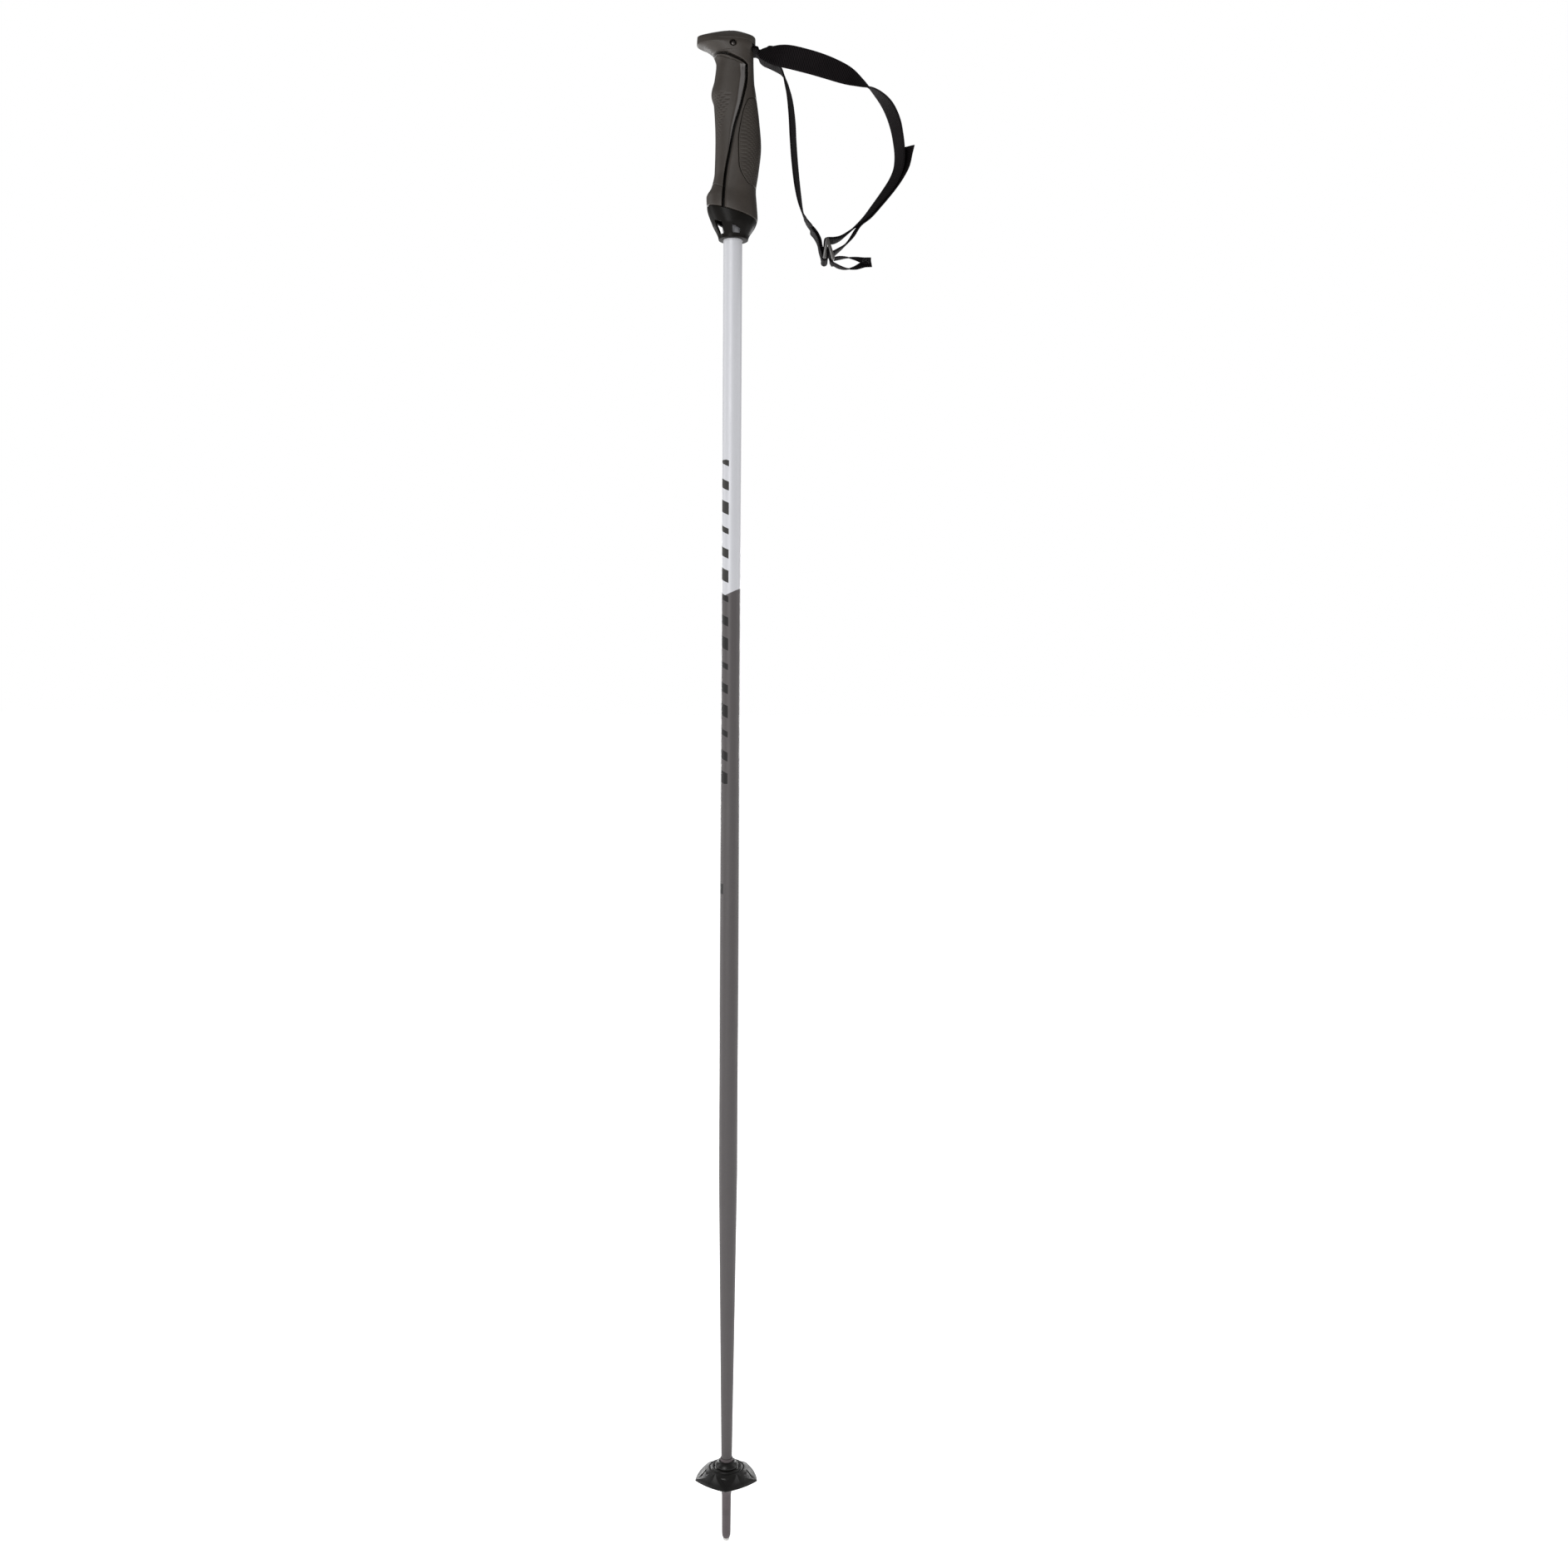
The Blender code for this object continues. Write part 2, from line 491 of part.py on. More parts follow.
def cut_strap_slot(head):
    """The cross bore for the strap's pin, with its two recesses, and the slot at the rear."""
    center = (PIN_X, PIN_Z)
    recess = PIN_HEAD_RADIUS + GAP
    bore = PIN_RADIUS + GAP
    recess_floor = PIN_HALF_LENGTH - 2.0 * MM
    far = 25 * MM
    pin_room = turned([(0.0, -far), (recess, -far), (recess, -recess_floor), (bore, -recess_floor),
                       (bore, recess_floor), (recess, recess_floor), (recess, far), (0.0, far)],
                      20, center, along_y=True)
    boolean(head, as_guide(add_object("pin_room", pin_room)), "DIFFERENCE")
    loop_room = 4.6
    pin_z = PIN_Z / MM
    outline = [(x, z) for x, z, _, _ in arc((0.0, pin_z), loop_room * MM, 90, 270, 12)]
    outline += [(30.0, 1279.5), (30.0, 1285.3), (18.0, 1285.3)]
    slot = prism(outline, -SLOT_HALF_WIDTH, SLOT_HALF_WIDTH)
    boolean(head, as_guide(add_object("strap_slot", slot)), "DIFFERENCE")


def build_strap(steel, webbing_fabric, buckle_plastic, hinge_parent, slider_parent, tab_parent):
    """Cross pin, the webbing cut where it bends at a joint, the slider and its pull tab."""
    center = (PIN_X, PIN_Z)
    bore = 1.3 * MM
    head_face = PIN_HALF_LENGTH - 1.8 * MM
    add_object("strap_pin", turned([
        (0.0, -PIN_HALF_LENGTH), (1.6 * MM, -PIN_HALF_LENGTH), (PIN_HEAD_RADIUS, -PIN_HALF_LENGTH + 0.7 * MM),
        (PIN_HEAD_RADIUS, -head_face), (PIN_RADIUS, -head_face), (PIN_RADIUS, head_face - 0.6 * MM),
        (bore, head_face - 0.6 * MM), (bore, 6.0 * MM), (0.0, 6.0 * MM)], 20, center, along_y=True), steel)
    cap_stem = bore - 0.2 * MM
    add_object("strap_pin_cap", turned([
        (0.0, 6.5 * MM), (cap_stem, 6.5 * MM), (cap_stem, head_face), (PIN_HEAD_RADIUS, head_face),
        (PIN_HEAD_RADIUS, PIN_HALF_LENGTH - 0.7 * MM), (1.6 * MM, PIN_HALF_LENGTH),
        (0.0, PIN_HALF_LENGTH)], 20, center, along_y=True), steel)

    wrap = PIN_RADIUS + GAP + WEB_THICKNESS / 2
    mouth = STRAP_HINGE[0] - 1.9
    anchor = [(mouth, 1283.3, 0, 0), (12.0, 1284.2, 0, 0)] + arc((0.0, PIN_Z / MM), wrap, 78, 276, 12)
    anchor += [(12.0, 1281.4, 0, 0), (mouth, 1281.35, 0, 0)]
    add_object("strap_anchor", webbing(smooth_route(anchor, 3 * MM), WEB_WIDTH, WEB_THICKNESS), webbing_fabric)

    long_side = near_edge_straight(LONG_SIDE)
    run = [station for station in long_side if 1137.0 < station[1] < 1200.0 and station[0] > 104.0]
    along_strand = [(x, z, -turn, y) for x, z, turn, y in reversed(beside(run, LAYER_PITCH))]
    tail = near_edge_straight(TAIL) + along_strand + near_edge_straight([TAIL_END])
    long_side += near_edge_straight(SLIDER_WRAP) + tail
    hinge = (STRAP_HINGE[0] * MM, 0.0, STRAP_HINGE[1] * MM)
    pieces = [add_object("strap_long_side", webbing(smooth_route(long_side, 4 * MM), WEB_WIDTH, WEB_THICKNESS),
                         webbing_fabric, hinge),
              add_object("strap_short_side", webbing(smooth_route(SHORT_SIDE, 5 * MM), WEB_WIDTH, WEB_THICKNESS),
                         webbing_fabric, hinge)]
    for piece in pieces:
        ride_on(piece, hinge_parent)
    build_slider(webbing_fabric, buckle_plastic, slider_parent, tab_parent)


def ride_on(piece, parent):
    """Parent a piece to an empty that stands at its origin's joint."""
    piece.parent = parent
    piece.location = piece.location - parent_place(parent)


def parent_place(parent):
    """World place of an empty under its own parents, none of which is turned."""
    place = parent.location.copy()
    while parent.parent:
        parent = parent.parent
        place += parent.location
    return place


def build_slider(webbing_fabric, buckle_plastic, slider_parent, tab_parent):
    """The ladder slider, the webbing folded round its bar, and the pull tab on its lever bar."""
    wrap = BAR_RADIUS + GAP + WEB_THICKNESS / 2
    returning = beside(FOLD_MAIN, -LAYER_PITCH)
    fold = FOLD_MAIN + arc(FOLD_BAR, wrap, 20, -200, 10) + list(reversed(returning[:-1]))
    pivot = (TOP_BAR[0] * MM, 0.0, TOP_BAR[1] * MM)
    fold_band = add_object("strap_fold", webbing(smooth_route(fold, 2.5 * MM), WEB_WIDTH, WEB_THICKNESS),
                           webbing_fabric, pivot)
    ride_on(fold_band, slider_parent)

    leg = 1.3
    side = []
    for (x, z), angles in ((TOP_BAR, (170, 90, 10)), (LEVER_BAR, (10, -70, -150)), (FOLD_BAR, (-10, -90, -170))):
        for angle in angles:
            side.append((x + leg * 1.25 * math.cos(math.radians(angle)),
                         z + leg * 1.25 * math.sin(math.radians(angle))))
    between = [((TOP_BAR[0] + FOLD_BAR[0]) / 2 + 0.6, 1114.0), ((TOP_BAR[0] + LEVER_BAR[0]) / 2 - 0.8, 1114.0)]
    outline = side[:6] + [(between[1][0], 1113.0), (TOP_BAR[0] + 0.1, 1118.6), (between[0][0], 1113.0)] + side[6:]
    slider = add_object("strap_slider", prism(outline, SLIDER_INNER_HALF, SLIDER_INNER_HALF + SLIDER_SIDE),
                        buckle_plastic, pivot)
    far_side = as_guide(add_object("slider_far_side", prism(
        outline, -SLIDER_INNER_HALF - SLIDER_SIDE, -SLIDER_INNER_HALF)))
    boolean(slider, far_side, "UNION")
    reach = SLIDER_INNER_HALF + SLIDER_SIDE / 2
    for label, place in (("top", TOP_BAR), ("fold", FOLD_BAR), ("lever", LEVER_BAR)):
        bar = turned([(0.0, -reach), (BAR_RADIUS, -reach), (BAR_RADIUS, reach), (0.0, reach)],
                     14, (place[0] * MM, place[1] * MM), along_y=True)
        boolean(slider, as_guide(add_object("slider_bar_" + label, bar)), "UNION")
    ride_on(slider, slider_parent)

    tab_wrap = BAR_RADIUS + GAP + TAB_THICKNESS / 2
    upper = [(117.6, 1107.6, -48, 0), (112.0, 1107.9, -44, 0), (104.0, 1109.6, -28, 0),
             (96.0, 1110.4, -10, 0), (90.0, 1109.9, 0, 0)]
    lower = [(90.0, 1102.6, 0, 0), (96.5, 1100.9, 10, 0), (104.0, 1101.7, 28, 0), (112.4, 1105.0, 44, 0),
             (118.0, 1105.6, 48, 0)]
    loop = upper + arc(LEVER_BAR, tab_wrap, 75, 265, 10) + lower
    tab = add_object("pull_tab", webbing(smooth_route(loop, 3 * MM), TAB_WIDTH, TAB_THICKNESS), webbing_fabric,
                     (LEVER_BAR[0] * MM, 0.0, LEVER_BAR[1] * MM))
    ride_on(tab, tab_parent)


def add_empty(name, place, parent=None):
    """An empty that marks a joint axis."""
    empty = bpy.data.objects.new(name, None)
    empty.location = Vector(place) - (parent_place(parent) if parent else Vector())
    empty.parent = parent
    bpy.context.scene.collection.objects.link(empty)
    return empty


def main():
    """Build the whole pole."""
    clear_scene()
    painted = finish("painted_tube", (0.55, 0.55, 0.58), 0.35, 0.3)
    grey_plastic = finish("grey_plastic", (0.11, 0.10, 0.10), 0.5, 0.0)
    steel = finish("steel", (0.62, 0.62, 0.62), 0.3, 1.0)
    basket_plastic = finish("basket_plastic", (0.02, 0.019, 0.018), 0.4, 0.0)
    core_plastic = finish("core_plastic", (0.012, 0.012, 0.012), 0.4, 0.0)
    shell_rubber = finish("shell_rubber", (0.045, 0.037, 0.031), 0.6, 0.0)
    pad_rubber = finish("pad_rubber", (0.04, 0.034, 0.029), 0.75, 0.0)
    webbing_fabric = finish("webbing_fabric", (0.008, 0.008, 0.009), 0.85, 0.0)
    buckle_plastic = finish("buckle_plastic", (0.03, 0.03, 0.03), 0.3, 0.0)

    strap_joint = add_empty("strap_joint", (STRAP_HINGE[0] * MM, 0.0, STRAP_HINGE[1] * MM))
    slider_joint = add_empty("slider_joint", (TOP_BAR[0] * MM, 0.0, TOP_BAR[1] * MM), strap_joint)
    tab_joint = add_empty("tab_joint", (LEVER_BAR[0] * MM, 0.0, LEVER_BAR[1] * MM), slider_joint)

    build_pole(painted, grey_plastic, steel, basket_plastic)
    build_grip(core_plastic, shell_rubber, pad_rubber, core_plastic)
    build_strap(steel, webbing_fabric, buckle_plastic, strap_joint, slider_joint, tab_joint)


main()
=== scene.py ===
"""Looks of the ski pole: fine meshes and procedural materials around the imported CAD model.

Metres, +Z up the tube, origin at the tip's flat end; -X is the beak, +X the strap side.
"""
import functools
import math

import bmesh
import bpy
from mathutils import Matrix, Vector


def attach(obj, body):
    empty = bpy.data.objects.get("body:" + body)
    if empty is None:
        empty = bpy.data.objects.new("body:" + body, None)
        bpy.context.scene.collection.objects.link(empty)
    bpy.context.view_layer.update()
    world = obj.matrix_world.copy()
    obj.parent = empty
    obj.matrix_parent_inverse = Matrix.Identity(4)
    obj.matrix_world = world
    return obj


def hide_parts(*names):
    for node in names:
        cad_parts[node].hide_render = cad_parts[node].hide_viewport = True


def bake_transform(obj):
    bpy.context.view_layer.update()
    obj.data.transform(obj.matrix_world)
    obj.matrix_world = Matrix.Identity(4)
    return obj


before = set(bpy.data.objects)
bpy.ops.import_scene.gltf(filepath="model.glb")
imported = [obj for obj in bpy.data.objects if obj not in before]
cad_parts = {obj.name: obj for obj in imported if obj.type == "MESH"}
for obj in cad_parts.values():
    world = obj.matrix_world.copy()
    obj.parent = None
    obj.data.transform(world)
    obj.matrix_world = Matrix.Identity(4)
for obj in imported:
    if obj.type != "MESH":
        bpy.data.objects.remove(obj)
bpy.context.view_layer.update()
MM = 0.001

# ---------------------------------------------------------------------------
# Node helpers
# ---------------------------------------------------------------------------


class Shader:
    """A material under construction, with short calls for its nodes."""

    def __init__(self, name, started=None):
        self.material = started or bpy.data.materials.new(name)
        self.material.use_nodes = True
        self.tree = self.material.node_tree
        self.surface = self.tree.nodes["Principled BSDF"]

    def put(self, socket, value):
        """Link a socket to an input, or set the input's value."""
        if isinstance(value, bpy.types.NodeSocket):
            self.tree.links.new(value, socket)
        elif isinstance(value, tuple) and len(value) == 3 and socket.type == "RGBA":
            socket.default_value = (*value, 1.0)
        else:
            socket.default_value = value

    def add(self, kind, inputs=None, **properties):
        """Add a node of that kind and fill its inputs by name or number."""
        made = self.tree.nodes.new(kind)
        for key, value in properties.items():
            setattr(made, key, value)
        for key, value in (inputs or {}).items():
            self.put(made.inputs[key], value)
        return made

    def math(self, operation, first, second=0.0, third=0.0):
        """One number from up to three."""
        made = self.add("ShaderNodeMath", {0: first, 1: second, 2: third}, operation=operation)
        return made.outputs[0]

    def object_place(self):
        """Position in the object's own space."""
        return self.add("ShaderNodeTexCoord").outputs["Object"]

    def band_place(self):
        """Position along and across a swept band, kept in its UV map."""
        return self.add("ShaderNodeTexCoord").outputs["UV"]

    def parts(self, vector):
        """The three numbers of a vector."""
        return self.add("ShaderNodeSeparateXYZ", {0: vector}).outputs

    def scaled(self, vector, factors):
        """A vector multiplied by three factors."""
        return self.add("ShaderNodeVectorMath", {0: vector, 1: factors}, operation="MULTIPLY").outputs[0]

    def grain(self, vector, scale, detail=3.0, roughness=0.5):
        """Noise from 0 to 1."""
        made = self.add("ShaderNodeTexNoise", {"Vector": vector, "Scale": scale, "Detail": detail,
                                               "Roughness": roughness})
        return made.outputs[0]

    def cells(self, vector, scale, feature="F1"):
        """Distance within cells."""
        made = self.add("ShaderNodeTexVoronoi", {"Vector": vector, "Scale": scale}, feature=feature)
        return made.outputs["Distance"]

    def span(self, value, low, high, to_low=0.0, to_high=1.0, smooth=False):
        """Map a number from one range to another, clamped."""
        made = self.add("ShaderNodeMapRange", {0: value, 1: low, 2: high, 3: to_low, 4: to_high})
        if smooth:
            made.interpolation_type = "SMOOTHSTEP"
        return made.outputs[0]

    def blend(self, factor, first, second):
        """Mix two colours."""
        made = self.add("ShaderNodeMix", data_type="RGBA")
        self.put(made.inputs[0], factor)
        self.put(made.inputs[6], first)
        self.put(made.inputs[7], second)
        return made.outputs[2]

    def bump(self, height, distance, strength=1.0, below=None):
        """A bump on top of an earlier one."""
        made = self.add("ShaderNodeBump", {"Height": height, "Distance": distance, "Strength": strength})
        if below:
            self.put(made.inputs["Normal"], below)
        return made.outputs[0]

    def finish(self, **values):
        """Set the surface's inputs and return the material."""
        for key, value in values.items():
            self.put(self.surface.inputs[key.replace("_", " ")], value)
        return self.material


# ---------------------------------------------------------------------------
# Materials
# ---------------------------------------------------------------------------

TUBE_RADIUS = 8.0 * MM
PAINT_EDGE_HEIGHT = 825.3 * MM      # where the two paints meet, at the tube's middle
PAINT_EDGE_SLOPE = 0.47             # the meeting line rises towards the strap side
MARK_TOP = 938.0 * MM               # the printed bars run down from here
MARK_BOTTOM = 662.0 * MM
MARK_PITCH = 19.2 * MM
MARK_LEAN = 0.42                    # fall of a bar per length round the tube
MARK_THINNEST = 0.13                # half height of the thinnest bar, as a share of the pitch
MARK_GROWTH = 0.07                  # how much thicker each of the next bars is
MARK_KINDS = 3.0                    # the thicknesses repeat after this many bars
MARK_SIDE_ANGLE = 1.82              # the bars end here, in radians from the strap side
BLOCK_HEIGHT = 571.5 * MM
BLOCK_HALF = 4.4 * MM
BLOCK_SIDE_ANGLE = 2.3
SHELL_DARK = (0.029, 0.0235, 0.0195)
SHELL_LIGHT = (0.040, 0.0330, 0.0275)
STRIP_INSET = 0.8 * MM              # from the parting line to the strip that is painted paler, a painted highlight
STRIP_TOP = 1268.0 * MM
STRIP_FADE = 1.5 * MM
STRIP_LINE = [(1172.5 * MM, -6.6 * MM), (1193.8 * MM, -2.9 * MM), (1215.0 * MM, 1.3 * MM),
              (1236.3 * MM, 7.6 * MM), (1258.0 * MM, 11.6 * MM)]


def printed_bars(shader, x, y, z):
    """1 inside the printed marks on the beak side: slanted bars of three thicknesses and a block."""
    around = shader.math("ARCTAN2", y, x)
    facing = shader.math("ABSOLUTE", around)
    within = shader.math("GREATER_THAN", facing, MARK_SIDE_ANGLE)
    arc_length = shader.math("MULTIPLY", facing, MARK_LEAN * TUBE_RADIUS)
    down = shader.math("ADD", shader.math("SUBTRACT", MARK_TOP, z), arc_length)
    index = shader.math("FLOOR", shader.math("DIVIDE", down, MARK_PITCH))
    phase = shader.math("FRACT", shader.math("DIVIDE", down, MARK_PITCH))
    from_middle = shader.math("ABSOLUTE", shader.math("SUBTRACT", phase, 0.5))
    kind = shader.math("MODULO", index, MARK_KINDS)
    half = shader.math("ADD", MARK_THINNEST, shader.math("MULTIPLY", kind, MARK_GROWTH))
    bar = shader.math("LESS_THAN", from_middle, half)
    between = shader.math("MULTIPLY", shader.math("LESS_THAN", z, MARK_TOP),
                          shader.math("GREATER_THAN", z, MARK_BOTTOM))
    bars = shader.math("MULTIPLY", shader.math("MULTIPLY", bar, within), between)
    from_block = shader.math("ABSOLUTE", shader.math("SUBTRACT", z, BLOCK_HEIGHT))
    block = shader.math("MULTIPLY", shader.math("LESS_THAN", from_block, BLOCK_HALF),
                        shader.math("GREATER_THAN", facing, BLOCK_SIDE_ANGLE))
    return shader.math("MAXIMUM", bars, block)


def tube_paint():
    """Satin silver-white paint above, anthracite below, printed bars and faint handling marks."""
    shader = Shader("tube_paint")
    place = shader.object_place()
    x, y, z = shader.parts(place)
    edge = shader.math("ADD", shader.math("MULTIPLY", x, PAINT_EDGE_SLOPE), PAINT_EDGE_HEIGHT)
    upper = shader.math("GREATER_THAN", z, edge)
    flake = shader.cells(place, 5200.0)
    cloud = shader.grain(place, 14.0, 4.0)
    scuff = shader.grain(shader.scaled(place, (900.0, 900.0, 26.0)), 1.0, 6.0, 0.7)
    flakes = shader.span(flake, 0.0, 0.9)
    light_paint = shader.blend(flakes, (0.530, 0.534, 0.562), (0.580, 0.584, 0.612))
    dark_paint = shader.blend(flakes, (0.072, 0.065, 0.066), (0.094, 0.086, 0.087))
    color = shader.blend(upper, dark_paint, light_paint)
    ink = shader.blend(upper, (0.010, 0.009, 0.009), (0.030, 0.029, 0.027))
    marks = printed_bars(shader, x, y, z)
    color = shader.blend(marks, color, ink)
    worn = shader.math("MULTIPLY", shader.span(scuff, 0.62, 0.75), shader.span(z, 0.42, 0.10))
    color = shader.blend(shader.math("MULTIPLY", worn, 0.35), color, (0.24, 0.23, 0.23))
    color = shader.blend(shader.math("MULTIPLY", cloud, 0.06), color, (0.25, 0.25, 0.26))
    shine = shader.span(shader.grain(place, 60.0, 5.0), 0.3, 0.7, 0.40, 0.50)
    peel = shader.bump(shader.grain(place, 420.0, 2.0), 0.00002, 0.25)
    fine = shader.bump(scuff, 0.00001, 0.2, peel)
    step = shader.bump(marks, 0.00004, 0.5, fine)
    return shader.finish(Base_Color=color, Roughness=shine, Metallic=0.15, Normal=step,
                         Specular_IOR_Level=0.25)


def moulded_plastic(name, dark, light, rough_low, rough_high, grain_size, grain_depth, gloss=0.5):
    """Moulded plastic or rubber: eroded mould grain, flow clouds and slightly polished high spots."""
    shader = Shader(name)
    place = shader.object_place()
    cloud = shader.grain(place, 55.0, 5.0, 0.6)
    pores = shader.cells(place, 1.0 / grain_size)
    speck = shader.grain(place, 2.3 / grain_size, 4.0, 0.6)
    rubbed = shader.grain(place, 18.0, 3.0)
    color = shader.blend(shader.span(cloud, 0.3, 0.7), dark, light)
    color = shader.blend(shader.math("MULTIPLY", shader.span(speck, 0.55, 0.8), 0.25), color, light)
    rough = shader.math("ADD", shader.span(rubbed, 0.35, 0.65, rough_low, rough_high),
                        shader.math("MULTIPLY", speck, 0.06))
    low = shader.bump(pores, grain_depth, 0.5)
    high = shader.bump(speck, grain_depth * 0.6, 0.5, low)
    return shader.finish(Base_Color=color, Roughness=rough, Normal=high, Specular_IOR_Level=gloss)


def highlight_strip_share(shader, x, z):
    """1 on the strip that runs down the finger side beside the parting line, where the painted highlight
    goes.
    """
    line = STRIP_LINE[0][1]
    width = shader.span(z, STRIP_WIDTH[0][0] * MM, STRIP_WIDTH[-1][0] * MM, 0.0, STRIP_WIDTH[-1][1] * MM)
    for (low, start), (high, end) in zip(STRIP_LINE, STRIP_LINE[1:]):
        line = shader.math("ADD", line, shader.span(z, low, high, 0.0, end - start))
    beside = shader.math("SUBTRACT", shader.math("SUBTRACT", line, x), STRIP_INSET)
    inner = shader.span(beside, 0.0, 0.4 * MM)
    outer = shader.span(shader.math("SUBTRACT", width, beside), 0.0, 0.7 * MM)
    ended = shader.span(z, STRIP_TOP, STRIP_TOP - STRIP_FADE)
    return shader.math("MULTIPLY", shader.math("MULTIPLY", inner, outer), ended)


def finger_rubber_painted_highlight():
    """The shell's rubber with the smoother strip beside the parting line, which is painted paler as a painted
    highlight.
    """
    name = "finger_rubber_painted_highlight"
    plain_rubber = moulded_plastic(name, SHELL_DARK, SHELL_LIGHT, 0.40, 0.52, 0.30 * MM, 0.00003, 0.35)
    shader = Shader(name, plain_rubber)
    x, _, z = shader.parts(shader.object_place())
    strip = highlight_strip_share(shader, x, z)
    plain = shader.surface.inputs["Base Color"].links[0].from_socket
    rough = shader.surface.inputs["Roughness"].links[0].from_socket
    # painted highlight: the strip is coloured far paler than the rubber, standing in for the light its
    # slanted face catches
    color = shader.blend(strip, plain, (0.115, 0.108, 0.105))
    smooth = shader.math("MULTIPLY", rough, shader.span(strip, 0.0, 1.0, 1.0, 0.62))
    return shader.finish(Base_Color=color, Roughness=smooth)


def ground_steel(name, color):
    """Turned or ground steel with fine rings round its axis and a little wear."""
    shader = Shader(name)
    place = shader.object_place()
    rings = shader.grain(shader.scaled(place, (120.0, 120.0, 5200.0)), 1.0, 3.0, 0.6)
    stain = shader.grain(place, 420.0, 4.0)
    tint = shader.blend(shader.span(stain, 0.4, 0.7), color, tuple(0.7 * part for part in color))
    rough = shader.span(rings, 0.3, 0.7, 0.18, 0.40)
    return shader.finish(Base_Color=tint, Roughness=rough, Metallic=1.0,
                         Normal=shader.bump(rings, 0.00002, 0.5))


WEB_RIB = 1.45 * MM                 # pitch of the webbing's cross ribs
WEB_THREAD = 0.42 * MM              # pitch of the yarns seen on each rib


def webbing_weave(name, dark, light):
    """Black polyester webbing: yarns along the band pass over and under its cross ribs, painted lighter on
    their raised crests and darker in the hollows, as painted highlight and shade.
    """
    shader = Shader(name)
    place = shader.band_place()
    along, across, _ = shader.parts(place)
    rib = shader.math("PINGPONG", shader.math("DIVIDE", along, WEB_RIB), 0.5)
    column = shader.math("FLOOR", shader.math("DIVIDE", across, WEB_THREAD))
    shifted = shader.math("ADD", shader.math("DIVIDE", along, WEB_RIB), shader.math("MULTIPLY", column, 0.5))
    pick = shader.math("PINGPONG", shifted, 0.5)
    yarn = shader.math("PINGPONG", shader.math("DIVIDE", across, WEB_THREAD), 0.5)
    fuzz = shader.grain(shader.scaled(place, (9000.0, 2600.0, 1.0)), 1.0, 3.0, 0.7)
    wear = shader.grain(place, 70.0, 4.0)
    raised = shader.math("ADD", shader.math("MULTIPLY", rib, 1.4), shader.math("MULTIPLY", pick, 0.30))
    # painted highlight and shade: the colour follows the raised height, light on the ribs and yarns and dark
    # between them, and lighter where the wear noise is high
    rib_highlight_share = shader.math("MULTIPLY", shader.span(raised, 0.25, 0.75),
                              shader.span(wear, 0.2, 0.8, 0.45, 1.0))
    color = shader.blend(rib_highlight_share, dark, light)
    color = shader.blend(shader.math("MULTIPLY", shader.span(fuzz, 0.55, 0.85), 0.25), color, light)
    base = shader.bump(raised, 0.00022, 0.6)
    yarns = shader.bump(yarn, 0.00010, 0.5, base)
    hairs = shader.bump(fuzz, 0.00004, 0.4, yarns)
    return shader.finish(Base_Color=color, Roughness=shader.span(wear, 0.2, 0.8, 0.62, 0.82), Normal=hairs,
                         Specular_IOR_Level=0.05)


def sewing_thread():
    """Twisted black thread, painted lighter where the twist raises its surface, as a painted highlight."""
    shader = Shader("sewing_thread")
    place = shader.object_place()
    twist = shader.grain(shader.scaled(place, (4000.0, 4000.0, 1500.0)), 1.0, 2.0)
    # painted highlight: the colour is lighter on the raised twist and darker in its hollows
    color = shader.blend(twist, (0.010, 0.010, 0.011), (0.045, 0.045, 0.048))
    return shader.finish(Base_Color=color, Roughness=0.6, Normal=shader.bump(twist, 0.00006, 0.6))


def studio_floor():
    """Plain pale floor."""
    shader = Shader("studio_floor")
    place = shader.object_place()
    cloud = shader.grain(place, 3.0, 2.0)
    color = shader.blend(cloud, (0.86, 0.86, 0.86), (0.90, 0.90, 0.90))
    return shader.finish(Base_Color=color, Roughness=0.85, Emission_Color=(1.0, 1.0, 1.0),
                         Emission_Strength=FLOOR_GLOW)


# ---------------------------------------------------------------------------
# Sizes shared with the CAD model
# ---------------------------------------------------------------------------

GAP = 0.3 * MM
TUBE_WALL = 1.0 * MM
TUBE_BOTTOM = 50.0 * MM
TUBE_TOP = 1264.0 * MM
TAPER_START = 322.0 * MM
TAPER_SLOPE = 0.0134
TIP_RADIUS = 2.8 * MM
TIP_HEIGHT = 2.3 * MM
TIP_STEM_RADIUS = 2.2 * MM
TIP_STEM_TOP = 24.0 * MM
FERRULE_BOTTOM = TIP_HEIGHT + GAP
FERRULE_TOP = 73.0 * MM
FERRULE_RADIUS = 5.5 * MM
BASKET_CORNER_RADIUS = 28.2 * MM
BASKET_EDGE_RADIUS = 25.0 * MM
BASKET_SIDES = 5
BASKET_HUB_BOTTOM = 49.7 * MM

# outlines of the grip as (height, value) in mm
GRIP_FRONT = [(1124.0, -12.2), (1137, -17.6), (1150, -22.0), (1159, -22.6), (1167, -18.5), (1180, -15.8),
              (1206, -15.2), (1236, -16.6), (1245, -18.8), (1257, -16.2), (1270, -14.8), (1279, -18.0),
              (1284, -24.5), (1287.0, -31.2), (1293.4, -30.9), (1295.2, -25.5), (1297.6, -15.5), (1300, -4.0)]
GRIP_REAR = [(1124.0, 13.0), (1137, 19.6), (1142, 21.0), (1154, 20.2), (1165, 19.4), (1180, 21.4),
             (1202, 23.6), (1223, 22.0), (1245, 19.1), (1257, 17.4), (1279, 16.7), (1284, 18.2),
             (1292, 18.3), (1296.1, 10.2), (1298.3, 3.7), (1300, -4.0)]
